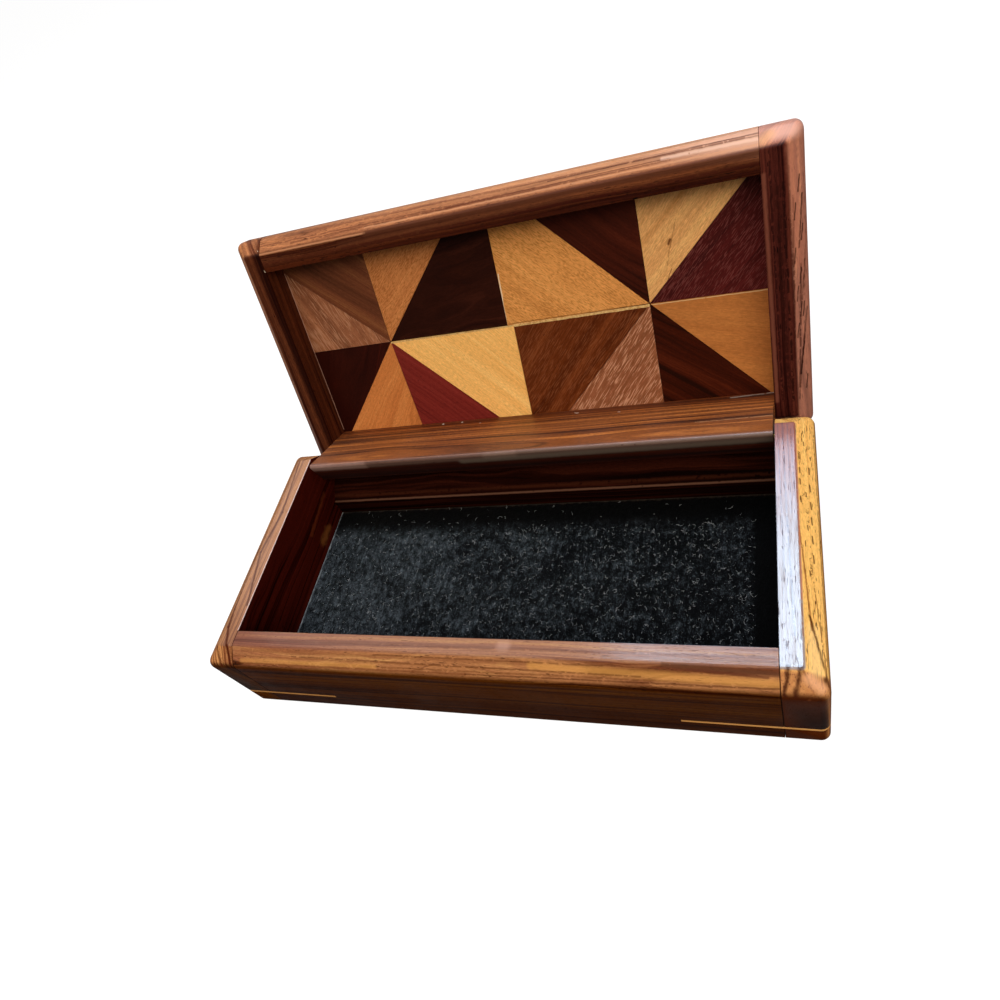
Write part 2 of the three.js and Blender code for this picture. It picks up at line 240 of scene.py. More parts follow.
@cache
def grain_group() -> bpy.types.NodeTree:
    """Builds the wood grain that every wooden piece shares.

    The place comes in with its X along the grain. Growth rings are shells round a pith that lies
    outside the piece, bent by slow noise, so flat faces show long figure and end faces show arcs.

    Returns:
        The node group, which puts out a colour, a share of gloss lost and a height.
    """
    graph, given, wanted = new_group(
        "Wood grain",
        {
            "Place": (0.0, 0.0, 0.0),
            "Pith": (0.0, 12.0, -30.0),
            "Ring": 3.0,
            "Wander": 3.0,
            "Light": (0.4, 0.2, 0.1, 1.0),
            "Middle": (0.3, 0.12, 0.05, 1.0),
            "Dark": (0.12, 0.04, 0.02, 1.0),
            "Streak": (0.03, 0.01, 0.01, 1.0),
            "Streaks": 0.4,
            "Pore": (0.03, 0.01, 0.01, 1.0),
            "Pores": 0.5,
            "Pore Size": 1.0,
            "Contrast": 0.5,
            "Tooth": 0.4,
        },
        {"Color": "NodeSocketColor", "Dull": "NodeSocketFloat", "Height": "NodeSocketFloat"},
    )
    place = graph.vector("ADD", graph.scaled(given["Place"], 1 / MM), given["Pith"])
    slow = graph.centred(graph.noise(graph.stretched(place, 0.011, 0.035)))
    quick = graph.centred(graph.noise(graph.stretched(place, 0.05, 0.22)))
    across = graph.vector("LENGTH", graph.vector("MULTIPLY", place, (0.0, 1.0, 1.0)))
    bend = graph.math("MULTIPLY", graph.math("MULTIPLY_ADD", quick, 0.16, slow), given["Wander"])
    shell = graph.math("DIVIDE", graph.math("MULTIPLY_ADD", bend, 3.0, across), given["Ring"])
    along = graph.split(place)[0]

    def ring_noise(per_ring: float, per_mm: float, shift: float, detail: float) -> bpy.types.NodeSocket:
        """Noise that varies across the rings and slowly along the grain."""
        ring = graph.math("MULTIPLY", shell, per_ring)
        return graph.noise(graph.joined(ring, graph.math("MULTIPLY", along, per_mm), shift), detail, 0.6)

    bands = ring_noise(1.0, 0.004, 3.0, 4.0)
    lines = ring_noise(5.0, 0.012, 11.0, 3.0)
    tone = graph.math("MULTIPLY_ADD", graph.centred(lines), 0.5, bands)
    spread = graph.math("MULTIPLY_ADD", given["Contrast"], -0.26, 0.32)
    low, high = graph.math("SUBTRACT", 0.46, spread), graph.math("MULTIPLY_ADD", spread, 0.35, 0.46)
    color = graph.mix(graph.between(tone, low, high), given["Dark"], given["Middle"])
    low, high = graph.math("MULTIPLY_ADD", spread, -0.35, 0.54), graph.math("ADD", 0.54, spread)
    color = graph.mix(graph.between(tone, low, high), color, given["Light"])

    figure = ring_noise(1.7, 0.007, 29.0, 3.0)
    edge = graph.math("MULTIPLY_ADD", given["Streaks"], -0.3, 0.78)
    streak = graph.between(figure, edge, graph.math("ADD", edge, 0.07))
    streak = graph.math("MULTIPLY", streak, graph.between(given["Streaks"], 0.0, 0.3))
    color = graph.mix(streak, color, given["Streak"])

    fibre = graph.noise(graph.stretched(place, 0.12, 6.0), 3.0, 0.65)
    tooth = graph.noise(graph.stretched(place, 0.8, 2.6), 2.0, 0.6)
    shade = graph.math("MULTIPLY_ADD", graph.centred(fibre), 0.7, 1.0)
    shade = graph.math("MULTIPLY_ADD", graph.centred(tooth), given["Tooth"], shade)
    tinted = graph.filled("CombineColor", {0: shade, 1: shade, 2: shade})
    color = graph.tint(1.0, color, tinted.outputs[0])

    sized = graph.scaled(place, graph.math("DIVIDE", 1.0, given["Pore Size"]))
    holes = graph.noise(graph.stretched(sized, 0.42, 4.2), 1.0)
    patch = graph.noise(graph.stretched(place, 0.03, 0.2), 1.0)
    rim = graph.math("MULTIPLY_ADD", given["Pores"], -0.2, 0.79)
    rim = graph.math("MULTIPLY_ADD", graph.math("SUBTRACT", 0.5, patch), 0.22, rim)
    pore = graph.between(holes, rim, graph.math("ADD", rim, 0.06))
    pore = graph.math("MULTIPLY", pore, graph.between(given["Pores"], 0.0, 0.2))
    color = graph.mix(pore, color, given["Pore"])

    graph.feed(wanted["Color"], color)
    graph.feed(wanted["Dull"], graph.math("MULTIPLY_ADD", graph.centred(fibre), 0.3, pore))
    graph.feed(wanted["Height"], graph.math("MULTIPLY_ADD", pore, -1.0, graph.math("MULTIPLY", fibre, 0.5)))
    return graph.tree


@cache
def fleck_group() -> bpy.types.NodeTree:
    """Builds short pale flecks that lie across the grain, as rays and sanding marks do.

    Returns:
        The node group, which puts out a mask.
    """
    graph, given, wanted = new_group(
        "Ray flecks",
        {"Place": (0.0, 0.0, 0.0), "Turn": 0.0, "Amount": 0.5, "Length": 6.0, "Width": 0.5},
        {"Mask": "NodeSocketFloat"},
    )
    values = {"Vector": given["Place"], "Angle": given["Turn"]}
    turned = graph.filled("VectorRotate", values, rotation_type="Z_AXIS").outputs[0]
    place = graph.scaled(turned, 1 / MM)
    sizes = graph.joined(given["Length"], given["Width"], 1.0)
    along, across, _ = graph.split(graph.vector("DIVIDE", place, sizes))
    start = graph.noise(graph.vector("MULTIPLY", place, (0.0, 2.3, 0.0)), 1.0)
    cells = graph.noise(graph.joined(graph.math("MULTIPLY_ADD", start, 3.0, along), across), 1.0)
    patch = graph.noise(graph.stretched(place, 0.12, 0.12), 1.0)
    edge = graph.math("MULTIPLY_ADD", graph.math("SUBTRACT", 0.5, patch), 0.3, 0.52)
    mask = graph.between(cells, edge, graph.math("ADD", edge, 0.1))
    graph.feed(wanted["Mask"], graph.math("MULTIPLY", mask, given["Amount"]))
    return graph.tree


@cache
def smudge_group() -> bpy.types.NodeTree:
    """Builds the uneven gloss of wood that has been handled and wiped.

    Returns:
        The node group, which puts out a gloss and a wear from 0 to 1, and a height.
    """
    graph, given, wanted = new_group(
        "Handled gloss",
        {"Place": (0.0, 0.0, 0.0), "Size": 14.0},
        {"Value": "NodeSocketFloat", "Height": "NodeSocketFloat", "Worn": "NodeSocketFloat"},
    )
    worn = graph.noise(graph.vector("MULTIPLY", given["Place"], (120.0, 2600.0, 2600.0)), 3.0, 0.65)
    graph.feed(wanted["Worn"], graph.between(worn, 0.3, 0.62))
    place = graph.scaled(given["Place"], graph.math("DIVIDE", 1 / MM, given["Size"]))
    cloud = graph.noise(place, 4.0, 0.62)
    graph.feed(wanted["Value"], graph.between(cloud, 0.3, 0.7))
    graph.feed(wanted["Height"], graph.noise(graph.stretched(place, 0.6, 1.4), 1.0))
    return graph.tree


@cache
def side_group() -> bpy.types.NodeTree:
    """Builds a mask for one side of a piece, from how far a place lies in one direction.

    Returns:
        The node group, which puts out a mask.
    """
    graph, given, wanted = new_group(
        "Side of a piece",
        {"Place": (0.0, 0.0, 0.0), "Direction": (0.0, 0.0, 1.0), "Start": 0.0, "End": 1.0},
        {"Mask": "NodeSocketFloat"},
    )
    reach = graph.math("MULTIPLY", graph.vector("DOT_PRODUCT", given["Place"], given["Direction"]), 1 / MM)
    graph.feed(wanted["Mask"], graph.between(reach, given["Start"], given["End"]))
    return graph.tree


@cache
def line_group() -> bpy.types.NodeTree:
    """Builds a narrow wavering line between two places, for growth lines, glue, spots, painted highlights and
    painted shade.

    Returns:
        The node group, which puts out a mask.
    """
    graph, given, wanted = new_group(
        "Drawn line",
        {
            "Place": (0.0, 0.0, 0.0),
            "Start": (0.0, 0.0, 0.0),
            "Reach": (1.0, 0.0, 0.0),
            "Width": 0.3,
            "Waver": 0.3,
            "Gaps": 0.0,
        },
        {"Mask": "NodeSocketFloat"},
    )
    place = graph.scaled(given["Place"], 1 / MM)
    values = {"Scale": 0.45, "Detail": 3.0, "Vector": place}
    cloud = graph.filled("TexNoise", values, noise_dimensions="3D").outputs["Color"]
    drift = graph.vector("SUBTRACT", cloud, (0.5, 0.5, 0.5))
    drift = graph.scaled(drift, graph.math("MULTIPLY", given["Waver"], 2.0))
    off = graph.vector("SUBTRACT", graph.vector("ADD", place, drift), given["Start"])
    along = graph.vector("DOT_PRODUCT", off, given["Reach"])
    whole = graph.vector("DOT_PRODUCT", given["Reach"], given["Reach"])
    nearest = graph.scaled(given["Reach"], graph.math("DIVIDE", along, whole, clamp=True))
    distance = graph.vector("LENGTH", graph.vector("SUBTRACT", off, nearest))
    half = graph.math("MULTIPLY", given["Width"], 0.5)
    mask = graph.between(distance, graph.math("MULTIPLY", half, 1.7), graph.math("MULTIPLY", half, 0.2))
    breaks = graph.noise(graph.vector("MULTIPLY", place, (0.6, 0.6, 0.6)), 3.0, 0.6)
    edge = graph.math("MULTIPLY_ADD", given["Gaps"], 0.5, 0.2)
    kept = graph.between(breaks, edge, graph.math("ADD", edge, 0.1))
    graph.feed(wanted["Mask"], graph.math("MULTIPLY", mask, kept))
    return graph.tree


def start_material(name: str) -> tuple[bpy.types.Material, Graph, bpy.types.Node]:
    """Starts a material with one Principled shader.

    Args:
        name: the material's name.

    Returns:
        The material, its graph and the shader node.
    """
    material = bpy.data.materials.new(name)
    material.use_nodes = True
    graph = Graph(material.node_tree)
    shader = material.node_tree.nodes["Principled BSDF"]
    return material, graph, shader


def place_group(graph: Graph, tree: bpy.types.NodeTree, values: dict[str, object]) -> bpy.types.Node:
    """Puts a shared group into a material with its own values."""
    return graph.filled("Group", values, node_tree=tree)


@dataclass(frozen=True)
class Lay:
    """How the grain lies in a piece: how its long side is turned and where the pith was.

    For a piece of the lid, opened is the move from the shut lid to the open one, so that every
    other place is given as on the shut lid.
    """

    turn: float = 0.0
    pith: tuple[float, float, float] = (0.0, 12.0, -30.0)
    opened: Matrix | None = None


@dataclass(frozen=True)
class Tone:
    """A side of a piece with another tone, painted shade, a painted reflection or polish: full where the
    place passes end.

    The wash covers the wood's colour by its share and the tint multiplies it; on upright, inner and recessed
    faces the tint is painted shade, and on flats the wash is a painted reflection.
    Polish adds a clear gloss, or takes some off where it is below nought.
    """

    direction: tuple[float, float, float]
    start: float
    end: float
    tint: str
    polish: float = 0.0
    wash: str = "#808080"
    cover: float = 0.0


@dataclass(frozen=True)
class Mark:
    """A line or a spot on a piece, between two places in millimetres."""

    start: tuple[float, float, float]
    end: tuple[float, float, float]
    width: float
    color: str
    strength: float = 0.8
    waver: float = 0.3
    gaps: float = 0.0

    def row(self, *places: float) -> Iterator["Mark"]:
        """The same mark at each of some places further along Y."""
        for y in places:
            start, end = (tuple(Vector(spot) + Vector((0, y, 0))) for spot in (self.start, self.end))
            yield replace(self, start=start, end=end)


@dataclass(frozen=True)
class WoodFinish:
    """A kind of wood, oiled to a satin gloss. Ring, wander, pore and fleck sizes are millimetres."""

    name: str
    slot: str
    light: str
    middle: str
    dark: str
    streak: str = "#2a100a"
    pore: str = "#2a120a"
    ring: float = 3.0
    wander: float = 3.0
    streaks: float = 0.35
    pores: float = 0.4
    pore_size: float = 1.0
    contrast: float = 0.5
    tooth: float = 0.5
    fleck: str = "#ffffff"
    flecks: float = 0.0
    fleck_turn: float = 0.0
    fleck_length: float = 6.0
    fleck_width: float = 0.5
    roughness: float = 0.4
    specular: float = 0.3
    coat_roughness: float = 0.14
    relief: float = 0.35
    relief_depth: float = 0.12
    pebble: float = 1.6
    gloss_spread: float = 0.14

    def shaded(self, light: str, middle: str, dark: str, **others: object) -> "WoodFinish":
        """This wood in other shades, with any other values changed too."""
        return replace(self, light=light, middle=middle, dark=dark, **others)

    def flecked(self, color: str, share: float, turn: float, length: float, width: float) -> "WoodFinish":
        """This wood with flecks across its grain."""
        sizes = {"fleck_length": length, "fleck_width": width}
        return replace(self, fleck=color, flecks=share, fleck_turn=turn, **sizes)

    def material(
        self, title: str, lay: Lay, tones: Iterable[Tone] = (), marks: Iterable[Mark] = ()
    ) -> bpy.types.Material:
        """Makes this wood's material for one piece.

        Args:
            title: the piece's name, for the material's name.
            lay: how the grain lies in the piece.
            tones: the sides of the piece where the wood has another tone, painted shade or a painted
                reflection.
            marks: lines and spots on the piece.

        Returns:
            The material.
        """
        material, graph, shader = start_material(f"{self.name} {title}")
        place = graph.add("TexCoord").outputs["Object"]
        if lay.opened is not None:
            place = graph.shifted(place, lay.opened.to_translation(), lay.opened.to_euler())
        turned = graph.shifted(place, (0, 0, 0), (0, 0, math.radians(lay.turn)))
        values = {"Place": turned, "Pith": lay.pith}
        for title in ("Light", "Middle", "Dark", "Streak", "Pore"):
            values[title] = linear(getattr(self, title.lower()))
        for title in ("Ring", "Wander", "Streaks", "Pores", "Pore Size", "Contrast", "Tooth"):
            values[title] = getattr(self, title.lower().replace(" ", "_"))
        grain = place_group(graph, grain_group(), values)
        color = grain.outputs["Color"]
        if self.flecks > 0:
            values = {
                "Place": place,
                "Turn": math.radians(self.fleck_turn),
                "Amount": self.flecks,
                "Length": self.fleck_length,
                "Width": self.fleck_width,
            }
            flecks = place_group(graph, fleck_group(), values)
            color = graph.mix(flecks.outputs["Mask"], color, linear(self.fleck))
        gleam = 0.0
        # Tones give the wood another tone, or paint shade with the tint and a reflection with the wash.
        for tone in tones:
            values = {"Place": place, "Direction": tone.direction, "Start": tone.start, "End": tone.end}
            side = place_group(graph, side_group(), values).outputs["Mask"]
            if tone.cover > 0:
                color = graph.mix(graph.math("MULTIPLY", side, tone.cover), color, linear(tone.wash))
            if tone.polish != 0:
                gleam = graph.math("MULTIPLY_ADD", side, tone.polish, gleam)
            color = graph.tint(side, color, linear(tone.tint))
        for mark in marks:
            values = {
                "Place": place,
                "Start": mark.start,
                "Reach": tuple(Vector(mark.end) - Vector(mark.start)),
                "Width": mark.width,
                "Waver": mark.waver,
                "Gaps": mark.gaps,
            }
            line = place_group(graph, line_group(), values)
            share = graph.math("MULTIPLY", line.outputs["Mask"], mark.strength)
            color = graph.mix(share, color, linear(mark.color))
        smudge = place_group(graph, smudge_group(), {"Place": turned})
        least = self.roughness - self.gloss_spread / 2
        gloss = graph.math("MULTIPLY_ADD", smudge.outputs["Value"], self.gloss_spread, least)
        gloss = graph.math("MULTIPLY_ADD", grain.outputs["Dull"], 0.2, gloss, clamp=True)
        height = graph.math("MULTIPLY_ADD", smudge.outputs["Height"], self.pebble, grain.outputs["Height"])
        graph.feed(shader.inputs["Base Color"], color)
        graph.feed(shader.inputs["Roughness"], gloss)
        graph.feed(shader.inputs["Normal"], graph.bump(height, self.relief, self.relief_depth))
        shader.inputs["Specular IOR Level"].default_value = self.specular
        if isinstance(gleam, bpy.types.NodeSocket):
            kept = graph.math("MULTIPLY_ADD", smudge.outputs["Worn"], 0.5, 0.5)
            kept = graph.math("MULTIPLY_ADD", grain.outputs["Dull"], -0.8, kept)
            gleam = graph.math("MULTIPLY", gleam, kept, clamp=True)
        graph.feed(shader.inputs["Coat Weight"], gleam)
        shader.inputs["Coat Roughness"].default_value = self.coat_roughness
        return material


@dataclass(frozen=True)
class VelvetFinish:
    """Short cut pile, nearly black and greyish where it lies over, with painted shade along the rear, under
    the lid's rail, and along the right wall.

    It is frayed along its left and rear edges, which are given as places in millimetres.
    """

    left: float
    rear: float
    deep: str = "#020304"
    bloom: str = "#5a646b"
    frayed: str = "#b4bcbe"
    nap: float = 0.05

    def material(self) -> bpy.types.Material:
        """Makes the velvet's material."""
        material, graph, shader = start_material("Velvet")
        place = graph.scaled(graph.add("TexCoord").outputs["Object"], 1 / MM)
        cloud = graph.noise(graph.stretched(place, 0.09, 0.1), 4.0, 0.65)
        tuft = graph.noise(graph.vector("MULTIPLY", place, (0.5, 0.36, 0.5)), 5.0, 0.75)
        wisp = graph.noise(graph.vector("MULTIPLY", place, (1.2, 0.24, 0.8)), 4.0, 0.7)
        fibre = graph.noise(graph.vector("MULTIPLY", place, (4.0, 2.2, 3.0)), 2.0, 0.7)
        across, depth, _ = graph.split(place)
        left = graph.between(across, 50.0, -84.0)
        lying = graph.math("MULTIPLY_ADD", left, 0.16, graph.math("MULTIPLY", cloud, 0.55))
        lying = graph.math("MULTIPLY_ADD", tuft, 1.1, lying)
        lying = graph.math("MULTIPLY_ADD", wisp, 0.5, lying)
        lying = graph.between(graph.math("MULTIPLY_ADD", fibre, 1.1, lying), 1.58, 2.3)
        color = graph.mix(lying, linear(self.deep), linear(self.bloom))
        # Painted shade: darker along the rear edge, under the lid's rail, and in a strip along the right
        # wall.
        ragged = graph.centred(wisp)
        rear = graph.between(graph.math("MULTIPLY_ADD", ragged, 11.0, depth), 19.0, 26.0)
        right_wall_shade = graph.between(graph.math("MULTIPLY_ADD", ragged, 3.0, across), 74.4, 77.0)
        color = graph.tint(rear, color, linear("#2a2018"))
        color = graph.tint(right_wall_shade, color, linear("#2c2c2c"))
        torn = graph.math("MULTIPLY", graph.centred(tuft), 2.6)
        fringe = graph.between(graph.math("ADD", across, torn), self.left + 1.1, self.left + 0.1)
        color = graph.mix(graph.math("MULTIPLY", fringe, 0.7), color, linear(self.frayed))
        fringe = graph.between(graph.math("ADD", depth, torn), self.rear - 1.2, self.rear - 0.1)
        color = graph.mix(graph.math("MULTIPLY", fringe, 0.4), color, linear("#4c3e34"))
        graph.feed(shader.inputs["Base Color"], color)
        shader.inputs["Roughness"].default_value = 0.95
        shader.inputs["Specular IOR Level"].default_value = 0.03
        shader.inputs["Sheen Weight"].default_value = self.nap
        shader.inputs["Sheen Roughness"].default_value = 0.45
        shader.inputs["Sheen Tint"].default_value = linear("#8f979c")
        pile = graph.math("MULTIPLY_ADD", tuft, 1.2, fibre)
        graph.feed(shader.inputs["Normal"], graph.bump(pile, 0.9, 0.7))
        return material


@dataclass(frozen=True)
class PlainFinish:
    """A small part's finish: one colour that varies a little, with fine tooth."""

    name: str
    color: str
    other: str
    roughness: float
    metallic: float = 0.0
    spot: float = 1.5
    relief: float = 0.3

    def material(self) -> bpy.types.Material:
        """Makes the finish's material."""
        material, graph, shader = start_material(self.name)
        place = graph.scaled(graph.add("TexCoord").outputs["Object"], 1 / (self.spot * MM))
        cloud = graph.noise(place, 4.0, 0.6)
        share = graph.between(cloud, 0.35, 0.65)
        graph.feed(shader.inputs["Base Color"], graph.mix(share, linear(self.color), linear(self.other)))
        rough = graph.math("MULTIPLY_ADD", cloud, 0.2, self.roughness - 0.1, clamp=True)
        graph.feed(shader.inputs["Roughness"], rough)
        shader.inputs["Metallic"].default_value = self.metallic
        tooth = graph.noise(graph.stretched(place, 6.0, 6.0))
        graph.feed(shader.inputs["Normal"], graph.bump(tooth, self.relief, 0.05))
        return material


ROSEWOOD = WoodFinish(
    "Rosewood",
    "rim_wood",
    "#be8c54",
    "#a26c44",
    "#643620",
    streak="#2c140a",
    pores=0.6,
    pore_size=0.9,
    contrast=0.85,
    ring=1.3,
    wander=1.4,
    tooth=0.9,
    streaks=0.45,
    specular=0.01,
)
SAPWOOD = ROSEWOOD.shaded(
    "#f8c876",
    "#edb866",
    "#d69850",
    name="Sapwood",
    streak="#6b3a12",
    pore="#401c06",
    streaks=0.15,
    pores=0.72,
    pore_size=1.3,
    contrast=0.5,
    ring=2.4,
)
REDWOOD = ROSEWOOD.shaded(
    "#cc9058", "#b37a4a", "#6e3a22", name="Striped rosewood", streak="#4a1c10", streaks=0.7
)
# Rosewood darkened nearly to black: painted shade for the rear board, which sits under the lid's rail.
SHADED_ROSEWOOD = ROSEWOOD.shaded(
    "#2c1008", "#180603", "#0b0302", name="Heartwood", pores=0.2, specular=0.0, ring=1.6, wander=1.2
)
LID_WOOD = ROSEWOOD.shaded(
    "#b4764c",
    "#96603f",
    "#603220",
    name="Lid rosewood",
    slot="lid_wood",
    streak="#2c100a",
    streaks=0.4,
    pore_size=1.2,
    ring=1.5,
    wander=1.5,
    tooth=1.1,
    specular=0.03,
)
END_WOOD = LID_WOOD.shaded("#c07c5c", "#9c5e4a", "#562a20", streaks=0.5, ring=1.9)
LEDGE_WOOD = LID_WOOD.shaded(
    "#bd7436",
    "#854a20",
    "#42200f",
    name="Ledge rosewood",
    ring=0.45,
    wander=0.2,
    contrast=0.9,
    streaks=0.35,
    pores=0.4,
    pore_size=1.0,
    roughness=0.46,
    specular=0.33,
)
KEY_WOOD = WoodFinish(
    "Key wood", "key_wood", "#f0b46a", "#d89a54", "#b07a3c", pores=0.2, streaks=0.0, specular=0.02
)
PLYWOOD = WoodFinish("Floor panel", "floor_wood", "#c9a06a", "#b98d58", "#a37a49", pores=0.3, streaks=0.0)

TAN = WoodFinish(
    "Tan wedge",
    "wedge_tan",
    "#a06a4a",
    "#885439",
    "#693e29",
    streaks=0.0,
    pores=0.4,
    pore_size=0.7,
    contrast=0.4,
    tooth=0.8,
    ring=4.0,
    specular=0.04,
)
ORANGE = TAN.shaded(
    "#e0a25c", "#d4914e", "#bd7c40", name="Orange wedge", slot="wedge_orange", pore="#8a5a2c"
)
PALE = TAN.shaded("#f5c678", "#eeb668", "#e3a658", name="Pale wedge", slot="wedge_pale", pore="#b98a4a")
DARK = TAN.shaded("#3c140a", "#2c0d07", "#190604", name="Dark wedge", slot="wedge_dark", streaks=0.1)
RED = TAN.shaded("#822e28", "#70241e", "#541816", name="Red wedge", slot="wedge_red", streaks=0.3)


@dataclass(frozen=True)
class Look:
    """All that one wooden piece's surface takes: its wood, how it lies, its tones with painted shade and
    painted reflections, and its marks.
    """

    finish: WoodFinish
    lay: Lay
    tones: tuple[Tone, ...] = ()
    marks: tuple[Mark, ...] = ()

    def material(self, title: str) -> bpy.types.Material:
        """Makes the material for one piece."""
        return self.finish.material(title, self.lay, self.tones, self.marks)


def deselect() -> None:
    """Leaves nothing selected."""
    bpy.ops.object.select_all(action="DESELECT")


def activate(piece: bpy.types.Object) -> None:
    """Selects one piece alone."""
    deselect()
    piece.select_set(True)
    bpy.context.view_layer.objects.active = piece


def fix_place() -> None:
    """Makes the place, turn and size of what is selected part of its mesh."""
    bpy.ops.object.transform_apply(location=True, rotation=True, scale=True)


@contextmanager
def shaping(piece: bpy.types.Object, whole: bool = False) -> Iterator[None]:
    """Edit mode on one piece, with all of it or nothing in it selected at the start."""
    activate(piece)
    bpy.ops.object.mode_set(mode="EDIT")
    bpy.ops.mesh.select_all(action="SELECT" if whole else "DESELECT")
    yield
    bpy.ops.object.mode_set(mode="OBJECT")


def pick(piece: bpy.types.Object, kind: str, test: Callable[[object], bool]) -> None:
    """Selects the vertices, edges or faces of the piece in edit mode that pass a test.

    Args:
        piece: the piece that is being shaped.
        kind: "VERT", "EDGE" or "FACE".
        test: says whether one of them is wanted.
    """
    bpy.ops.mesh.select_mode(type=kind)
    bpy.ops.mesh.select_all(action="DESELECT")
    shape = bmesh.from_edit_mesh(piece.data)
    for item in {"VERT": shape.verts, "EDGE": shape.edges, "FACE": shape.faces}[kind]:
        if test(item):
            item.select_set(True)
    shape.select_flush_mode()
    bmesh.update_edit_mesh(piece.data)


def start_block(name: str, low: Vector, high: Vector) -> bpy.types.Object:
    """Adds a cube primitive that reaches from one corner to the other."""
    deselect()
    bpy.ops.mesh.primitive_cube_add(size=1, location=(low + high) / 2, scale=high - low)
    piece = bpy.context.object
    piece.name = name
    fix_place()
    return piece


def modify(piece: bpy.types.Object, kind: str, **settings: object) -> None:
    """Adds a modifier to a piece and applies it."""
    activate(piece)
    bpy.ops.object.modifier_add(type=kind)
    modifier = piece.modifiers[-1]
    for name, value in settings.items():
        setattr(modifier, name, value)
    bpy.ops.object.modifier_apply(modifier=modifier.name)


def copied(piece: bpy.types.Object, name: str) -> bpy.types.Object:
    """A copy of a piece with its own mesh."""
    twin = bpy.data.objects.new(name, piece.data.copy())
    bpy.context.scene.collection.objects.link(twin)
    return twin


def united(pieces: list[bpy.types.Object], name: str) -> bpy.types.Object:
    """Joins pieces into one, each where it stands."""
    activate(pieces[0])
    for piece in pieces:
        piece.select_set(True)
    fix_place()
    bpy.ops.object.join()
    whole = bpy.context.object
    whole.name = name
    return whole


def discard(*pieces: bpy.types.Object) -> None:
    """Removes blanks and cutters that have done their work."""
    for piece in pieces:
        bpy.data.objects.remove(piece)


def cut(piece: bpy.types.Object, point: Vector, normal: Vector) -> None:
    """Saws a piece along a plane, throws away the side that the normal points to and closes the cut."""
    with shaping(piece, whole=True):
        bpy.ops.mesh.bisect(
            plane_co=point, plane_no=normal, use_fill=True, clear_outer=True, threshold=WELD / 2
        )


def carve(piece: bpy.types.Object, *cutters: bpy.types.Object) -> None:
    """Cuts the shapes of other objects out of a piece."""
    for cutter in cutters:
        modify(piece, "BOOLEAN", operation="DIFFERENCE", solver="EXACT", object=cutter)


def ease(piece: bpy.types.Object, width: float, angle: float = 50.0, segments: int = 2) -> None:
    """Rounds every sharp edge of a piece a little, as sandpaper does."""
    modify(
        piece,
        "BEVEL",
        width=width,
        segments=segments,
        limit_method="ANGLE",
        angle_limit=math.radians(angle),
        use_clamp_overlap=True,
    )


def smooth(piece: bpy.types.Object, angle: float = 35.0) -> None:
    """Shades a piece smoothly over its curves, and keeps its flats flat."""
    activate(piece)
    bpy.ops.object.shade_smooth_by_angle(angle=math.radians(angle))
    modify(piece, "WEIGHTED_NORMAL", keep_sharp=True, weight=80)


def dress(piece: bpy.types.Object, material: bpy.types.Material) -> None:
    """Gives a piece its material, in place of any that it has."""
    piece.data.materials.clear()
    piece.data.materials.append(material)


def settle(piece: bpy.types.Object, body: str, slot: str, node: str = "") -> None:
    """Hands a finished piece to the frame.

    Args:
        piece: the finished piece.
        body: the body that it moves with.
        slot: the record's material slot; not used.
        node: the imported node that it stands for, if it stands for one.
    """
    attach(piece, body)
    if not node:
        log.info("%s rides on %s", piece.name, body)
        return
    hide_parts(node)
    corners = [vertex.co for vertex in piece.data.vertices]
    off = max(
        abs(end(corner[i] for corner in corners) - wanted[i])
        for end, wanted in zip((min, max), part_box(node))
        for i in range(3)
    )
    log.info("%s stands for %s, corners within %.2f mm", piece.name, node, off / MM)


def refined_copy(node: str, name: str) -> bpy.types.Object:
    """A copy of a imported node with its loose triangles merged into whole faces."""
    piece = copied(frame["nodes"][node], name)
    with shaping(piece, whole=True):
        bpy.ops.mesh.remove_doubles(threshold=WELD)
        bpy.ops.mesh.dissolve_limited(angle_limit=math.radians(FLAT_DEGREES))
    return piece


@dataclass(frozen=True)
class Tier:
    """One level of an outer shape: its inset from the upright sides and its height."""

    inset: float
    height: float


def rounded_tiers(*corners: tuple[float, ...]) -> list[Tier]:
    """Rounds the corners of a section.

    Args:
        corners: each corner's inset, height and radius. The first and the last have no radius:
            they only say where the section comes from and where it goes.

    Returns:
        The levels round the other corners, an arc of short steps for each.
    """
    tiers = []
    for before, (inset, height, radius), after in zip(corners, corners[1:], corners[2:]):
        corner = Vector((inset, height))
        back = (Vector(before[:2]) - corner).normalized()
        ahead = (Vector(after[:2]) - corner).normalized()
        half = math.acos(back.dot(ahead)) / 2
        centre = corner + (back + ahead).normalized() * radius / math.sin(half)
        start = corner + back * radius / math.tan(half) - centre
        turn = math.copysign(math.pi - 2 * half, ahead.cross(back))
        for step in range(ARC_STEPS + 1):
            point = centre + Matrix.Rotation(turn * step / ARC_STEPS, 2) @ start
            tiers.append(Tier(point.x, point.y))
    return tiers


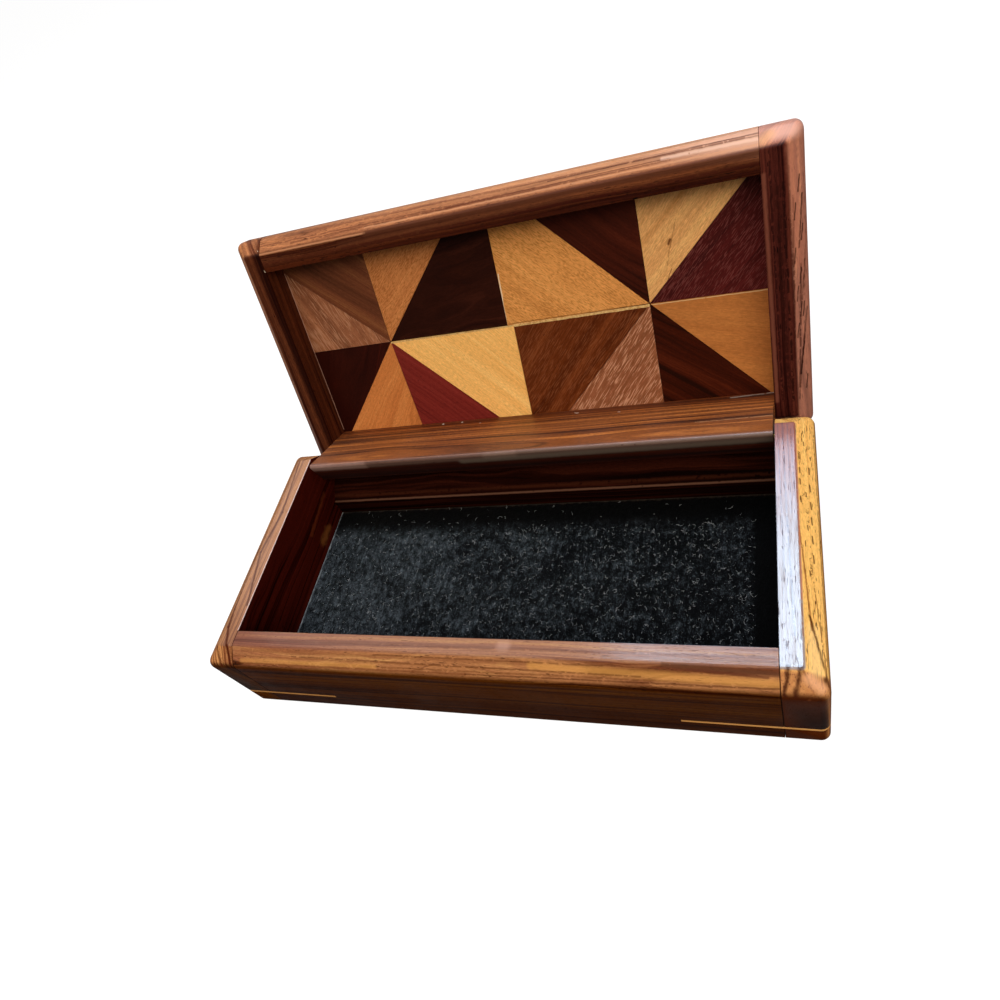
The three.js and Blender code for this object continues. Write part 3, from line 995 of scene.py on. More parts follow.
@dataclass
class OuterShape:
    """A block with rounded upright corners that narrows in tiers above and below."""

    low: Vector
    high: Vector
    corner_radius: float
    taper: float

    def _radius(self, inset: float) -> float:
        """The corner radius at an inset: it tightens as the shape narrows."""
        return self.corner_radius * self.taper / (self.taper + 2 * inset)

    def _grow(self, piece: bpy.types.Object, start: Tier, tiers: Iterable[Tier]) -> None:
        """Extrudes one end face through the tiers, narrowing it and tightening its corners."""
        half = (self.high - self.low) / 2
        centre = (self.high + self.low) / 2
        here = start
        for there in tiers:
            up = there.height - here.height
            bpy.ops.mesh.extrude_region_move(TRANSFORM_OT_translate={"value": (0, 0, up)})
            shrink = Vector([(size - there.inset) / (size - here.inset) for size in half.xy])
            middle = Vector((centre.x, centre.y, there.height))
            bpy.ops.transform.resize(value=(shrink.x, shrink.y, 1), center_override=middle)
            wanted = self._radius(there.inset) / self._radius(here.inset)
            self._tighten(piece, there, (wanted / shrink.x, wanted / shrink.y, 1))
            here = there

    def _tighten(self, piece: bpy.types.Object, tier: Tier, factors: tuple[float, float, float]) -> None:
        """Scales each rounded corner of the end face about the sharp corner that it rounds."""
        half = (self.high - self.low) / 2
        centre = (self.high + self.low) / 2

        def on_tier(vertex: bmesh.types.BMVert) -> bool:
            """Whether a vertex lies at the tier's height."""
            return abs(vertex.co.z - tier.height) < LEVEL

        def in_corner(vertex: bmesh.types.BMVert, sign_x: int, sign_y: int) -> bool:
            """Whether a vertex lies on the tier, in one quarter of it."""
            off = vertex.co - centre
            return on_tier(vertex) and off.x * sign_x > 0 and off.y * sign_y > 0

        for sign_x in (-1, 1):
            for sign_y in (-1, 1):
                pick(piece, "VERT", lambda v: in_corner(v, sign_x, sign_y))
                corner = (
                    centre.x + sign_x * (half.x - tier.inset),
                    centre.y + sign_y * (half.y - tier.inset),
                    tier.height,
                )
                bpy.ops.transform.resize(value=factors, center_override=corner)
        pick(piece, "VERT", on_tier)
        bpy.ops.mesh.select_mode(type="FACE")

    def model(self, name: str, upper: list[Tier], lower: list[Tier]) -> bpy.types.Object:
        """Models the block.

        Args:
            name: the blank's name.
            upper: the tiers above the upright sides, from the sides up.
            lower: the tiers below them, from the sides down.

        Returns:
            The blank, closed at both ends.
        """
        piece = start_block(
            name,
            Vector((self.low.x, self.low.y, lower[0].height)),
            Vector((self.high.x, self.high.y, upper[0].height)),
        )
        with shaping(piece):
            pick(piece, "EDGE", lambda e: abs(e.verts[0].co.z - e.verts[1].co.z) > NEAR)
            bpy.ops.mesh.bevel(offset=self.corner_radius, segments=CORNER_STEPS, affect="EDGES", profile=0.5)
            for tiers, sign in ((upper, 1), (lower, -1)):
                pick(piece, "FACE", lambda f: f.normal.z * sign > 0.9)
                self._grow(piece, tiers[0], tiers[1:])
        return piece


# Growth lines, pores, spots and specks, with painted highlights, painted reflections and painted shade among
# them, at their places on the box in millimetres.
RIGHT_CHEEK_MARKS = (
    Mark((91.6, -28.0, 33.1), (91.9, -38.0, 32.8), 3.6, "#ffd998", 0.45, 0.3),
    Mark((89.4, 2.0, 34.6), (91.4, -27.7, 33.2), 0.5, "#7a3c10", 0.8, 0.35, 0.2),
    Mark((91.0, -24.0, 33.5), (94.4, -41.0, 30.6), 0.75, "#4a200c", 0.85, 0.45, 0.15),
    Mark((92.3, -14.0, 32.5), (94.2, -38.0, 31.1), 0.4, "#6b3410", 0.7, 0.35, 0.3),
    Mark((94.3, 36.0, 30.9), (94.5, -36.0, 30.7), 0.35, "#6b3c14", 0.7, 0.2, 0.3),
    Mark((89.3, 40.0, 34.7), (89.3, -30.0, 34.7), 0.3, "#8a5030", 0.7, 0.15, 0.35),
    Mark((90.3, 28.0, 34.0), (90.9, 6.0, 33.5), 1.0, "#4a2408", 0.8, 0.3, 0.7),
    Mark((91.6, 16.0, 33.0), (92.0, -18.0, 32.7), 0.9, "#4a2408", 0.8, 0.3, 0.72),
    Mark((84.6, 40.0, 34.8), (85.4, -12.0, 34.8), 0.4, "#4a4658", 0.4, 0.2, 0.3),
    Mark((85.9, 41.0, 34.8), (86.5, 2.0, 34.8), 0.6, "#4a4658", 0.45, 0.25, 0.3),
    Mark((87.2, 38.0, 34.8), (87.6, 6.0, 34.8), 0.4, "#4a4658", 0.4, 0.2, 0.3),
    Mark((88.2, 36.0, 34.8), (88.5, 12.0, 34.8), 0.4, "#5a4450", 0.5, 0.2, 0.4),
    Mark((86.6, 2.0, 34.8), (87.4, -30.0, 34.8), 0.5, "#5c5a6c", 0.6, 0.2, 0.35),
    Mark((89.6, 30.0, 34.6), (89.4, -20.0, 34.6), 0.45, "#c87850", 0.6, 0.15, 0.1),
    Mark((85.8, -38.3, 34.9), (84.6, -43.9, 30.6), 1.1, "#3e180c", 0.9, 0.7),
    Mark((88.4, -38.2, 34.9), (87.2, -44.0, 30.4), 1.3, "#3e180c", 0.9, 0.9),
    Mark((89.0, -38.8, 34.6), (91.3, -43.7, 30.6), 0.5, "#6b381c", 0.7, 0.3),
    Mark((93.9, -39.6, 31.5), (92.2, -44.2, 28.9), 1.1, "#3a1a0c", 0.8, 0.4),
    Mark((92.0, -41.5, 31.8), (90.0, -44.2, 29.4), 0.6, "#6b381c", 0.7, 0.3),
    Mark((83.7, -5.6, 31.6), (83.7, -5.3, 31.3), 0.7, "#f4f4f0", 0.95, 0.1),
    # A painted highlight on the front end of the bevel.
    Mark((90.2, -40.4, 33.2), (92.6, -41.8, 31.4), 2.6, "#eeb488", 0.55, 0.3),
    Mark((86.4, 42.6, 32.0), (87.2, 42.8, 31.8), 0.8, "#3a1a0c", 0.8, 0.4),
    *Mark((90.1, 0, 34.1), (90.2, -1.7, 34.1), 0.5, "#3a1606", 0.85, 0.15).row(27, 22, 18, 12),
    *Mark((92.6, 0, 32.3), (92.7, -2.2, 32.2), 0.45, "#3a1606", 0.85, 0.15).row(23, 17, 11, 6, 0, -6),
    *Mark((91.5, 0, 33.1), (91.6, -1.4, 33.0), 0.4, "#4a2008", 0.8, 0.15).row(32, 14, 3, -11),
)
LEFT_STREAK = "#481a0e"
LEFT_CHEEK_MARKS = (
    Mark((-84.4, -24.0, 34.8), (-88.4, -3.0, 34.8), 0.9, LEFT_STREAK, 0.85, 0.3),
    Mark((-88.4, -3.0, 34.8), (-86.4, 14.0, 34.8), 1.0, LEFT_STREAK, 0.85, 0.3),
    Mark((-86.4, 14.0, 34.8), (-88.6, 38.0, 34.8), 0.8, LEFT_STREAK, 0.8, 0.3),
    Mark((-86.0, -38.8, 34.6), (-88.4, -32.0, 34.8), 1.0, LEFT_STREAK, 0.9, 0.3),
    Mark((-88.4, -32.0, 34.8), (-90.1, -13.0, 34.1), 1.0, LEFT_STREAK, 0.9, 0.3),
    Mark((-90.1, -13.0, 34.1), (-91.8, 8.0, 32.8), 0.9, LEFT_STREAK, 0.9, 0.3),
    Mark((-93.1, -36.0, 31.8), (-91.8, 0.0, 32.8), 1.0, LEFT_STREAK, 0.9, 0.3),
    Mark((-90.2, -38.6, 34.1), (-88.6, -44.0, 30.4), 1.1, LEFT_STREAK, 0.95, 0.3),
    Mark((-86.0, -38.6, 34.7), (-84.6, -43.8, 30.9), 1.0, LEFT_STREAK, 0.9, 0.3),
    Mark((-92.4, -38.0, 32.6), (-91.6, -43.6, 30.6), 0.8, LEFT_STREAK, 0.9, 0.3),
    Mark((-94.4, -30.0, 30.8), (-94.2, 36.0, 31.0), 0.8, "#e0a860", 0.6, 0.2, 0.1),
    # A painted highlight along the flat's inner arris.
    Mark((-83.8, -33.0, 34.8), (-83.8, 40.0, 34.8), 0.4, "#e6c8c0", 0.8, 0.1),
    Mark((-83.7, 16.0, 11.6), (-83.7, 22.0, 11.4), 3.2, "#8a5428", 0.5, 1.6),
    Mark((-83.7, 14.0, 19.0), (-83.7, 32.0, 21.0), 1.6, "#6b3216", 0.45, 1.2),
)
FRONT_BOARD_MARKS = (
    Mark((-80, -39.6, 34.0), (20, -40.0, 33.7), 1.0, "#7a4a2c", 0.5, 0.1, 0.2),
    Mark((-60, -42.4, 31.9), (84, -42.2, 32.0), 0.6, "#5c3212", 0.5, 0.1, 0.3),
    Mark((-84, -41.2, 32.8), (10, -41.4, 32.6), 0.4, "#7a4a26", 0.5, 0.2, 0.2),
    Mark((20, -40.4, 33.4), (84, -41.8, 32.3), 2.2, "#d0964c", 0.5, 0.25),
    Mark((-80, -42.4, 31.9), (-30, -42.3, 32.0), 1.6, "#d0964c", 0.4, 0.25),
    Mark((-60, -40.8, 33.1), (50, -41.6, 32.5), 0.5, "#4a2410", 0.55, 0.1, 0.3),
    Mark((-30, -39.4, 34.1), (40, -39.7, 33.9), 0.5, "#4a2410", 0.5, 0.1, 0.3),
    Mark((0, -42.9, 31.4), (84, -42.7, 31.6), 0.5, "#4a2410", 0.7, 0.2, 0.25),
    Mark((-84, -43.0, 31.3), (0, -42.9, 31.4), 0.7, "#5c2c14", 0.6, 0.2, 0.25),
    Mark((56, -38.9, 34.5), (83.4, -39.9, 33.8), 1.3, "#5a3826", 0.75, 0.2, 0.1),
    Mark((62, -39.6, 34.0), (81, -40.6, 33.2), 0.7, "#5a3020", 0.7, 0.2, 0.2),
    Mark((-84, -36.6, 34.8), (84, -36.0, 34.8), 0.8, "#5e3a2e", 0.45, 0.3, 0.3),
    Mark((40, -37.6, 34.8), (83, -37.2, 34.8), 0.9, "#6f4c3c", 0.5, 0.3, 0.2),
    Mark((10.8, -35.4, 34.8), (12.0, -35.4, 34.8), 3.0, "#c49a88", 0.35, 0.3),
)
BACK_BOARD_MARKS = (
    # A painted highlight along the board's front brink, and a fainter band of painted light on the slope just
    # behind it.
    Mark((-83, 33.4, 13.8), (83, 33.4, 13.8), 0.7, "#74503f", 0.5, 0.1, 0.1),
    Mark((-83, 35.2, 15.0), (83, 35.0, 14.9), 1.2, "#3c1c10", 0.5, 0.2, 0.3),
)


@dataclass
class Base:
    """The four walls of the box, with the slots and holes for what goes into them."""

    corner_radius: float = 2.6 * MM
    bevel_run: float = 5.8 * MM
    bevel_drop: float = 4.3 * MM
    shoulder_radius: float = 3.2 * MM
    brink_radius: float = 0.8 * MM
    foot_ease: float = 1.0 * MM
    foot_radius: float = 0.6 * MM
    arris: float = 0.07 * MM
    slot_gap: float = 0.05 * MM
    bore_overshoot: float = 4.0 * MM
    bore_sides: int = 32
    low: Vector = field(default_factory=lambda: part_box("base_left_cheek")[0])
    high: Vector = field(default_factory=lambda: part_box("base_right_cheek")[1])

    def blank(self) -> bpy.types.Object:
        """Models the outer shape that all four walls are sawn from."""
        upper = rounded_tiers(
            (0, self.low.z),
            (0, self.high.z - self.bevel_drop, self.shoulder_radius),
            (self.bevel_run, self.high.z, self.brink_radius),
            (self.high.x, self.high.z),
        )
        lower = rounded_tiers(
            (0, self.high.z),
            (0, self.low.z + self.foot_ease, self.foot_radius),
            (self.foot_ease, self.low.z, self.foot_radius),
            (self.high.x, self.low.z),
        )
        shape = OuterShape(self.low, self.high, self.corner_radius, self.bevel_run)
        return shape.model("base_blank", upper, lower)

    def pieces(self) -> dict[str, bpy.types.Object]:
        """Saws the four walls from the blank and cuts their slots."""
        blank = self.blank()
        floor = self._floor_cutter()
        slots = [self._slot_cutter(node) for node in frame["nodes"] if node.startswith("corner_key")]
        holes = [self._pin_cutter(side) for side in Side]
        walls = {}
        for side in Side:
            wall = copied(blank, f"cheek_{side.word}")
            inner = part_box(f"base_{side.word}_cheek")[0 if side is Side.RIGHT else 1]
            cut(wall, inner, Vector((-side.value, 0, 0)))
            walls[f"base_{side.word}_cheek"] = wall
        board = copied(blank, "board_front")
        cut(board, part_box("base_front_board")[1], Vector((0, 1, 0)))
        walls["base_front_board"] = board
        back_low, back_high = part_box("base_back_board")
        board = copied(blank, "board_back")
        cut(board, back_low, Vector((0, -1, 0)))
        pin = Vector(frame["joints"][0]["pos_m"])
        brink = Vector((0, back_high.y, back_high.z))
        cut(board, brink, Vector((0, pin.y - brink.y, pin.z - brink.z)))
        walls["base_back_board"] = board
        for node in ("base_front_board", "base_back_board"):
            for end, side in zip(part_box(node), Side):
                cut(walls[node], end, Vector((side.value, 0, 0)))
        for node, wall in walls.items():
            ease(wall, self.arris)
            carve(wall, floor, *slots, *(holes if "cheek" in node else []))
            smooth(wall)
        discard(blank, floor, *slots, *holes)
        return walls

    def looks(self) -> dict[str, Look]:
        """The look of each wall: pale on the right, striped on the left, and nearly black at the rear from
        painted shade.

        The flats shine more than the bevels and carry a painted reflection, and painted shade darkens the
        upright sides and inner faces.
        """
        top, out, deep = self.high.z / MM, self.high.x / MM, self.high.y / MM
        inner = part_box("base_right_cheek")[0].x / MM
        front_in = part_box("base_front_board")[1].y / MM
        flat = (0, 0, 1), top - 0.45, top - 0.1
        front = (0, -1, 0), deep - 1.4, deep - 0.1
        back = (0, 1, 0), deep - 1.4, deep - 0.1
        return {
            "base_right_cheek": Look(
                SAPWOOD,
                Lay(turn=90, pith=(0, 60, -60)),
                (
                    # Flat: polish, and a grey wash that is a painted reflection.
                    Tone(*flat, "#ffffff", 0.87, "#84828c", 0.88),
                    Tone((0, 1, 0), -25, 35, "#ffffff", -0.35),
                    Tone((0, 0.01, 1), 34.7, 35.12, "#ffb8ac"),
                    Tone((0, -1, 0), deep - 5.9, deep - 4.6, "#dcccc8", 0.0, "#bc7e60", 0.5),
                    # Painted shade on the front, back, outer and inner faces.
                    Tone(*front, "#64442e"),
                    Tone(*back, "#82716a"),
                    Tone((1, 0, 0), out - 0.7, out - 0.05, "#a08c7c"),
                    Tone((-1, 0, 0), -inner - 0.3, -inner - 0.02, "#4a2a24"),
                ),
                RIGHT_CHEEK_MARKS,
            ),
            "base_left_cheek": Look(
                REDWOOD,
                Lay(turn=90, pith=(0, -46, -40)),
                (
                    # Flat: polish, and a wash that is a painted reflection.
                    Tone(*flat, "#ffffff", 0.41, "#8c6652", 0.55),
                    # Painted shade on the front, back, outer and inner faces.
                    Tone(*front, "#64502c"),
                    Tone(*back, "#6a5c50"),
                    Tone((-1, 0, 0), out - 0.7, out - 0.05, "#a08468"),
                    Tone((1, 0, 0), -inner - 0.3, -inner - 0.02, "#5e2c32"),
                ),
                LEFT_CHEEK_MARKS,
            ),
            "base_front_board": Look(
                ROSEWOOD,
                Lay(pith=(0, 62, -52)),
                (
                    # Flat: polish, and a wash that is a painted reflection.
                    Tone(*flat, "#ffffff", 0.38, "#80584a", 0.55),
                    Tone((1, 0, 0), 30, 84, "#ffffff", -0.11),
                    Tone((-1, 0, 0), 10, 80, "#e2d4e2"),
                    # Painted shade on the front face, deeper towards its foot, and on the inner face.
                    Tone(*front, "#785c12"),
                    Tone((0, 0, -1), -24.0, -6.0, "#c8b8a8"),
                    Tone((0, 1, 0), front_in - 0.3, front_in - 0.02, "#4c2c24"),
                ),
                FRONT_BOARD_MARKS,
            ),
            # Painted shade: the rear board's wood is darkened nearly to black.
            "base_back_board": Look(
                SHADED_ROSEWOOD,
                Lay(pith=(0, -30, -40)),
                marks=BACK_BOARD_MARKS,
            ),
        }

    def _floor_cutter(self) -> bpy.types.Object:
        """The rebate for the floor panel, as a block that reaches below the walls."""
        low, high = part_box("floor_panel")
        room = Vector((1, 1, 1)) * self.slot_gap
        return start_block("floor_cutter", low - room - Vector((0, 0, self.foot_ease)), high + room)

    def _slot_cutter(self, node: str) -> bpy.types.Object:
        """The slot for one spline: the spline's own shape, grown a little and out of the corner."""
        low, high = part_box(node)
        cutter = refined_copy(node, node + "_cutter")
        grown = [(size + 2 * self.slot_gap) / size for size in high - low]
        with shaping(cutter, whole=True):
            bpy.ops.transform.resize(value=grown, center_override=(low + high) / 2)
        return cutter

    def _pin_cutter(self, side: Side) -> bpy.types.Object:
        """The hole for one hinge pin."""
        low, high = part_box(f"hinge_pin_{side.word}")
        deselect()
        bpy.ops.mesh.primitive_cylinder_add(
            vertices=self.bore_sides,
            radius=(high.z - low.z) / 2 + self.slot_gap,
            depth=high.x - low.x + self.bore_overshoot,
            location=(low + high) / 2,
            rotation=(0, math.pi / 2, 0),
        )
        fix_place()
        return bpy.context.object


# The same for the lid's rails, at their places on the shut lid.
GLUE_LINE = "#d8c6ac"
BEVEL_FOOT = (90.2, 35.2)
BEVEL_SLOPE = 0.83
BEVEL_PORES_X = (93.4, 92.2, 93.8, 91.8, 93.0, 92.1, 93.6, 91.9, 93.2, 92.4, 93.8)
BEVEL_PORES_Y = (-31, -24, -18, -12, -6, -1, 4, 10, 16, 22, 27)


def bevel_pore(x: float, y: float) -> Mark:
    """A short dark pore on the bevel of the lid's right rail, from a place on the shut lid."""
    foot, height = BEVEL_FOOT
    start, end = (height + (at - foot) * BEVEL_SLOPE for at in (x, x - 0.5))
    return Mark((x, y, start), (x - 0.5, y + 4.2, end), 0.45, "#240c08", 0.85, 0.3)


FRONT_RAIL_MARKS = (
    Mark((-60, -43.6, 38.6), (80, -43.0, 38.0), 0.8, "#6b3c26", 0.55, 0.3, 0.3),
    # A painted reflection along the right of the shoulder.
    Mark((20, -43.9, 40.0), (86, -43.7, 39.8), 0.7, "#f0c4a4", 0.35, 0.2, 0.3),
    Mark((-10, -41.6, 37.0), (60, -42.0, 37.3), 0.3, "#5a2c1c", 0.75, 0.12, 0.15),
    Mark((24, -42.7, 37.9), (86, -43.3, 38.6), 0.3, "#4a241a", 0.75, 0.12, 0.2),
    Mark((44, -43.5, 38.9), (86, -43.1, 38.3), 0.3, "#5a3428", 0.75, 0.12, 0.15),
    Mark((-30, -43.2, 38.4), (30, -43.5, 38.9), 0.3, "#6b3c28", 0.7, 0.12, 0.2),
    Mark((-84, -42.0, 37.4), (20, -41.8, 37.2), 0.5, "#5a2c1c", 0.6, 0.3, 0.3),
    Mark((-50, -37.6, 35.2), (30, -37.4, 35.2), 2.4, "#4a281a", 0.4, 0.15),
    # Painted shade on the rail's inner face, between the meeting face and the panel.
    Mark((-50, -33.35, 40), (30, -33.35, 40), 9, "#1c0806", 0.4, 0.2),
    Mark((-84, -39.7, 35.4), (-40, -39.6, 35.3), 0.7, "#c88c62", 0.6, 0.15, 0.1),
    Mark((-40, -39.4, 35.3), (84, -38.9, 35.2), 1.7, "#56301f", 0.75, 0.15, 0.05),
    Mark((-40, -41.0, 36.5), (84, -40.8, 36.3), 0.6, "#d09870", 0.5, 0.2, 0.1),
    # A painted reflection on the right of the bevel.
    Mark((58, -42.2, 37.5), (84, -42.0, 37.3), 1.0, "#ecc8b4", 0.5, 0.2, 0.15),
    Mark((-84, -36.4, 35.2), (84, -36.2, 35.2), 1.1, "#3c140c", 0.55, 0.3, 0.3),
    Mark((-40, -34.2, 35.2), (84, -34.4, 35.2), 0.8, "#30100a", 0.55, 0.3, 0.3),
    Mark((-70, -41.2, 36.8), (60, -41.4, 37.0), 0.6, "#5a2c1c", 0.6, 0.3, 0.3),
    Mark((-84, -43.8, 39.8), (-10, -43.4, 38.9), 0.6, "#5a2c1c", 0.6, 0.3, 0.2),
    Mark((10, -43.0, 38.4), (84, -42.6, 38.0), 0.4, "#5a3024", 0.65, 0.15, 0.2),
    # A painted reflection along the right of the shoulder.
    Mark((40, -43.7, 39.6), (84, -43.9, 39.9), 0.4, "#f8dac8", 0.6, 0.2, 0.2),
)
LEFT_RAIL_MARKS = (
    Mark((-84.1, -44.2, 44.0), (-84.6, -41.0, 36.7), 0.3, GLUE_LINE, 0.9, 0.3),
    Mark((-84.4, -41.0, 36.4), (-83.9, -33.6, 35.2), 0.25, GLUE_LINE, 0.8, 0.3, 0.1),
)
RIGHT_RAIL_MARKS = (
    Mark((87.6, -30, 35.2), (88.0, 30, 35.2), 1.3, "#240c08", 0.6, 0.4, 0.4),
    Mark((91.6, -26, 36.4), (90.2, 20, 35.4), 0.8, "#3a140c", 0.75, 0.4, 0.3),
    Mark((93.2, -8, 37.4), (91.4, 30, 36.2), 0.7, "#3a140c", 0.75, 0.4, 0.3),
    Mark((90.6, -34, 35.6), (90.6, -8, 35.6), 0.9, "#4a2016", 0.6, 0.4, 0.4),
    Mark((88, -42.6, 37.4), (92, -42.2, 37.8), 3.6, "#e6b4a4", 0.6, 0.3),
    Mark((91.4, -38, 36.2), (92.4, -8, 37.0), 2.6, "#b4705a", 0.5, 0.5),
    Mark((84.4, -33, 35.2), (84.6, 34, 35.2), 1.1, "#7a4636", 0.65, 0.2),
    Mark((86.0, -36, 35.2), (86.2, 34, 35.2), 0.6, "#240a08", 0.8, 0.3, 0.35),
    Mark((89.2, -30, 35.3), (89.4, 34, 35.3), 0.8, "#1c0806", 0.85, 0.4, 0.4),
    Mark((93.8, -26, 38.4), (92.6, -12, 37.4), 0.6, "#240a08", 0.85, 0.3, 0.1),
    Mark((93.9, -8, 38.6), (92.4, 8, 37.2), 0.6, "#240a08", 0.85, 0.3, 0.1),
    Mark((94.0, 6, 38.8), (91.8, 26, 36.6), 0.7, "#240a08", 0.85, 0.3, 0.1),
    Mark((93.2, 14, 38.0), (91.0, 34, 36.2), 0.6, "#3a140c", 0.8, 0.3, 0.1),
    Mark((94.4, -20, 39.4), (93.4, 2, 38.2), 0.6, "#3a140c", 0.8, 0.3, 0.2),
    *(bevel_pore(x, y) for x, y in zip(BEVEL_PORES_X, BEVEL_PORES_Y)),
    Mark((84.6, -41.6, 36.6), (86.4, -42.6, 37.4), 3.0, "#e8b07c", 0.5, 0.3),
)
REAR_RAIL_MARKS = (
    Mark((70, 35.05, 43.6), (83.4, 35.05, 44.6), 0.6, "#c8bcb0", 0.6, 0.5, 0.3),
    Mark((60, 35.05, 27.0), (83.4, 35.05, 27.6), 0.5, "#d09a6c", 0.6, 0.4, 0.2),
    # A painted highlight band along the nose, and under it a band of painted shade.
    Mark((-83, 36.7, 16.6), (-60, 36.9, 16.7), 3.0, "#b89488", 0.6, 0.3),
    Mark((-64, 36.9, 16.7), (0, 36.6, 16.6), 2.8, "#8c6e60", 0.45, 0.3, 0.1),
    Mark((-10, 36.6, 16.6), (84, 36.2, 16.4), 2.8, "#8c7466", 0.45, 0.3, 0.05),
    Mark((-20, 38.4, 17.6), (84, 38.2, 17.5), 2.6, "#84786a", 0.5, 0.3, 0.05),
    Mark((-83, 42.6, 20.3), (84, 42.8, 20.4), 2.4, "#140604", 0.8, 0.2),
    Mark((-37.4, 35.05, 43.7), (-37.1, 35.05, 43.5), 0.6, "#fff4e4", 0.9, 0.1),
    Mark((-29.3, 35.05, 43.9), (-29.1, 35.05, 43.7), 0.6, "#fff4e4", 0.9, 0.1),
    Mark((-20.9, 35.05, 41.5), (-20.7, 35.05, 41.5), 0.4, "#e0d4c4", 0.9, 0.1),
    Mark((16.2, 35.05, 42.7), (17.4, 35.05, 42.6), 0.4, "#e0d4c4", 0.8, 0.1),
    Mark((32.4, 35.05, 40.2), (33.0, 35.05, 40.2), 0.4, "#e0d4c4", 0.8, 0.1),
)


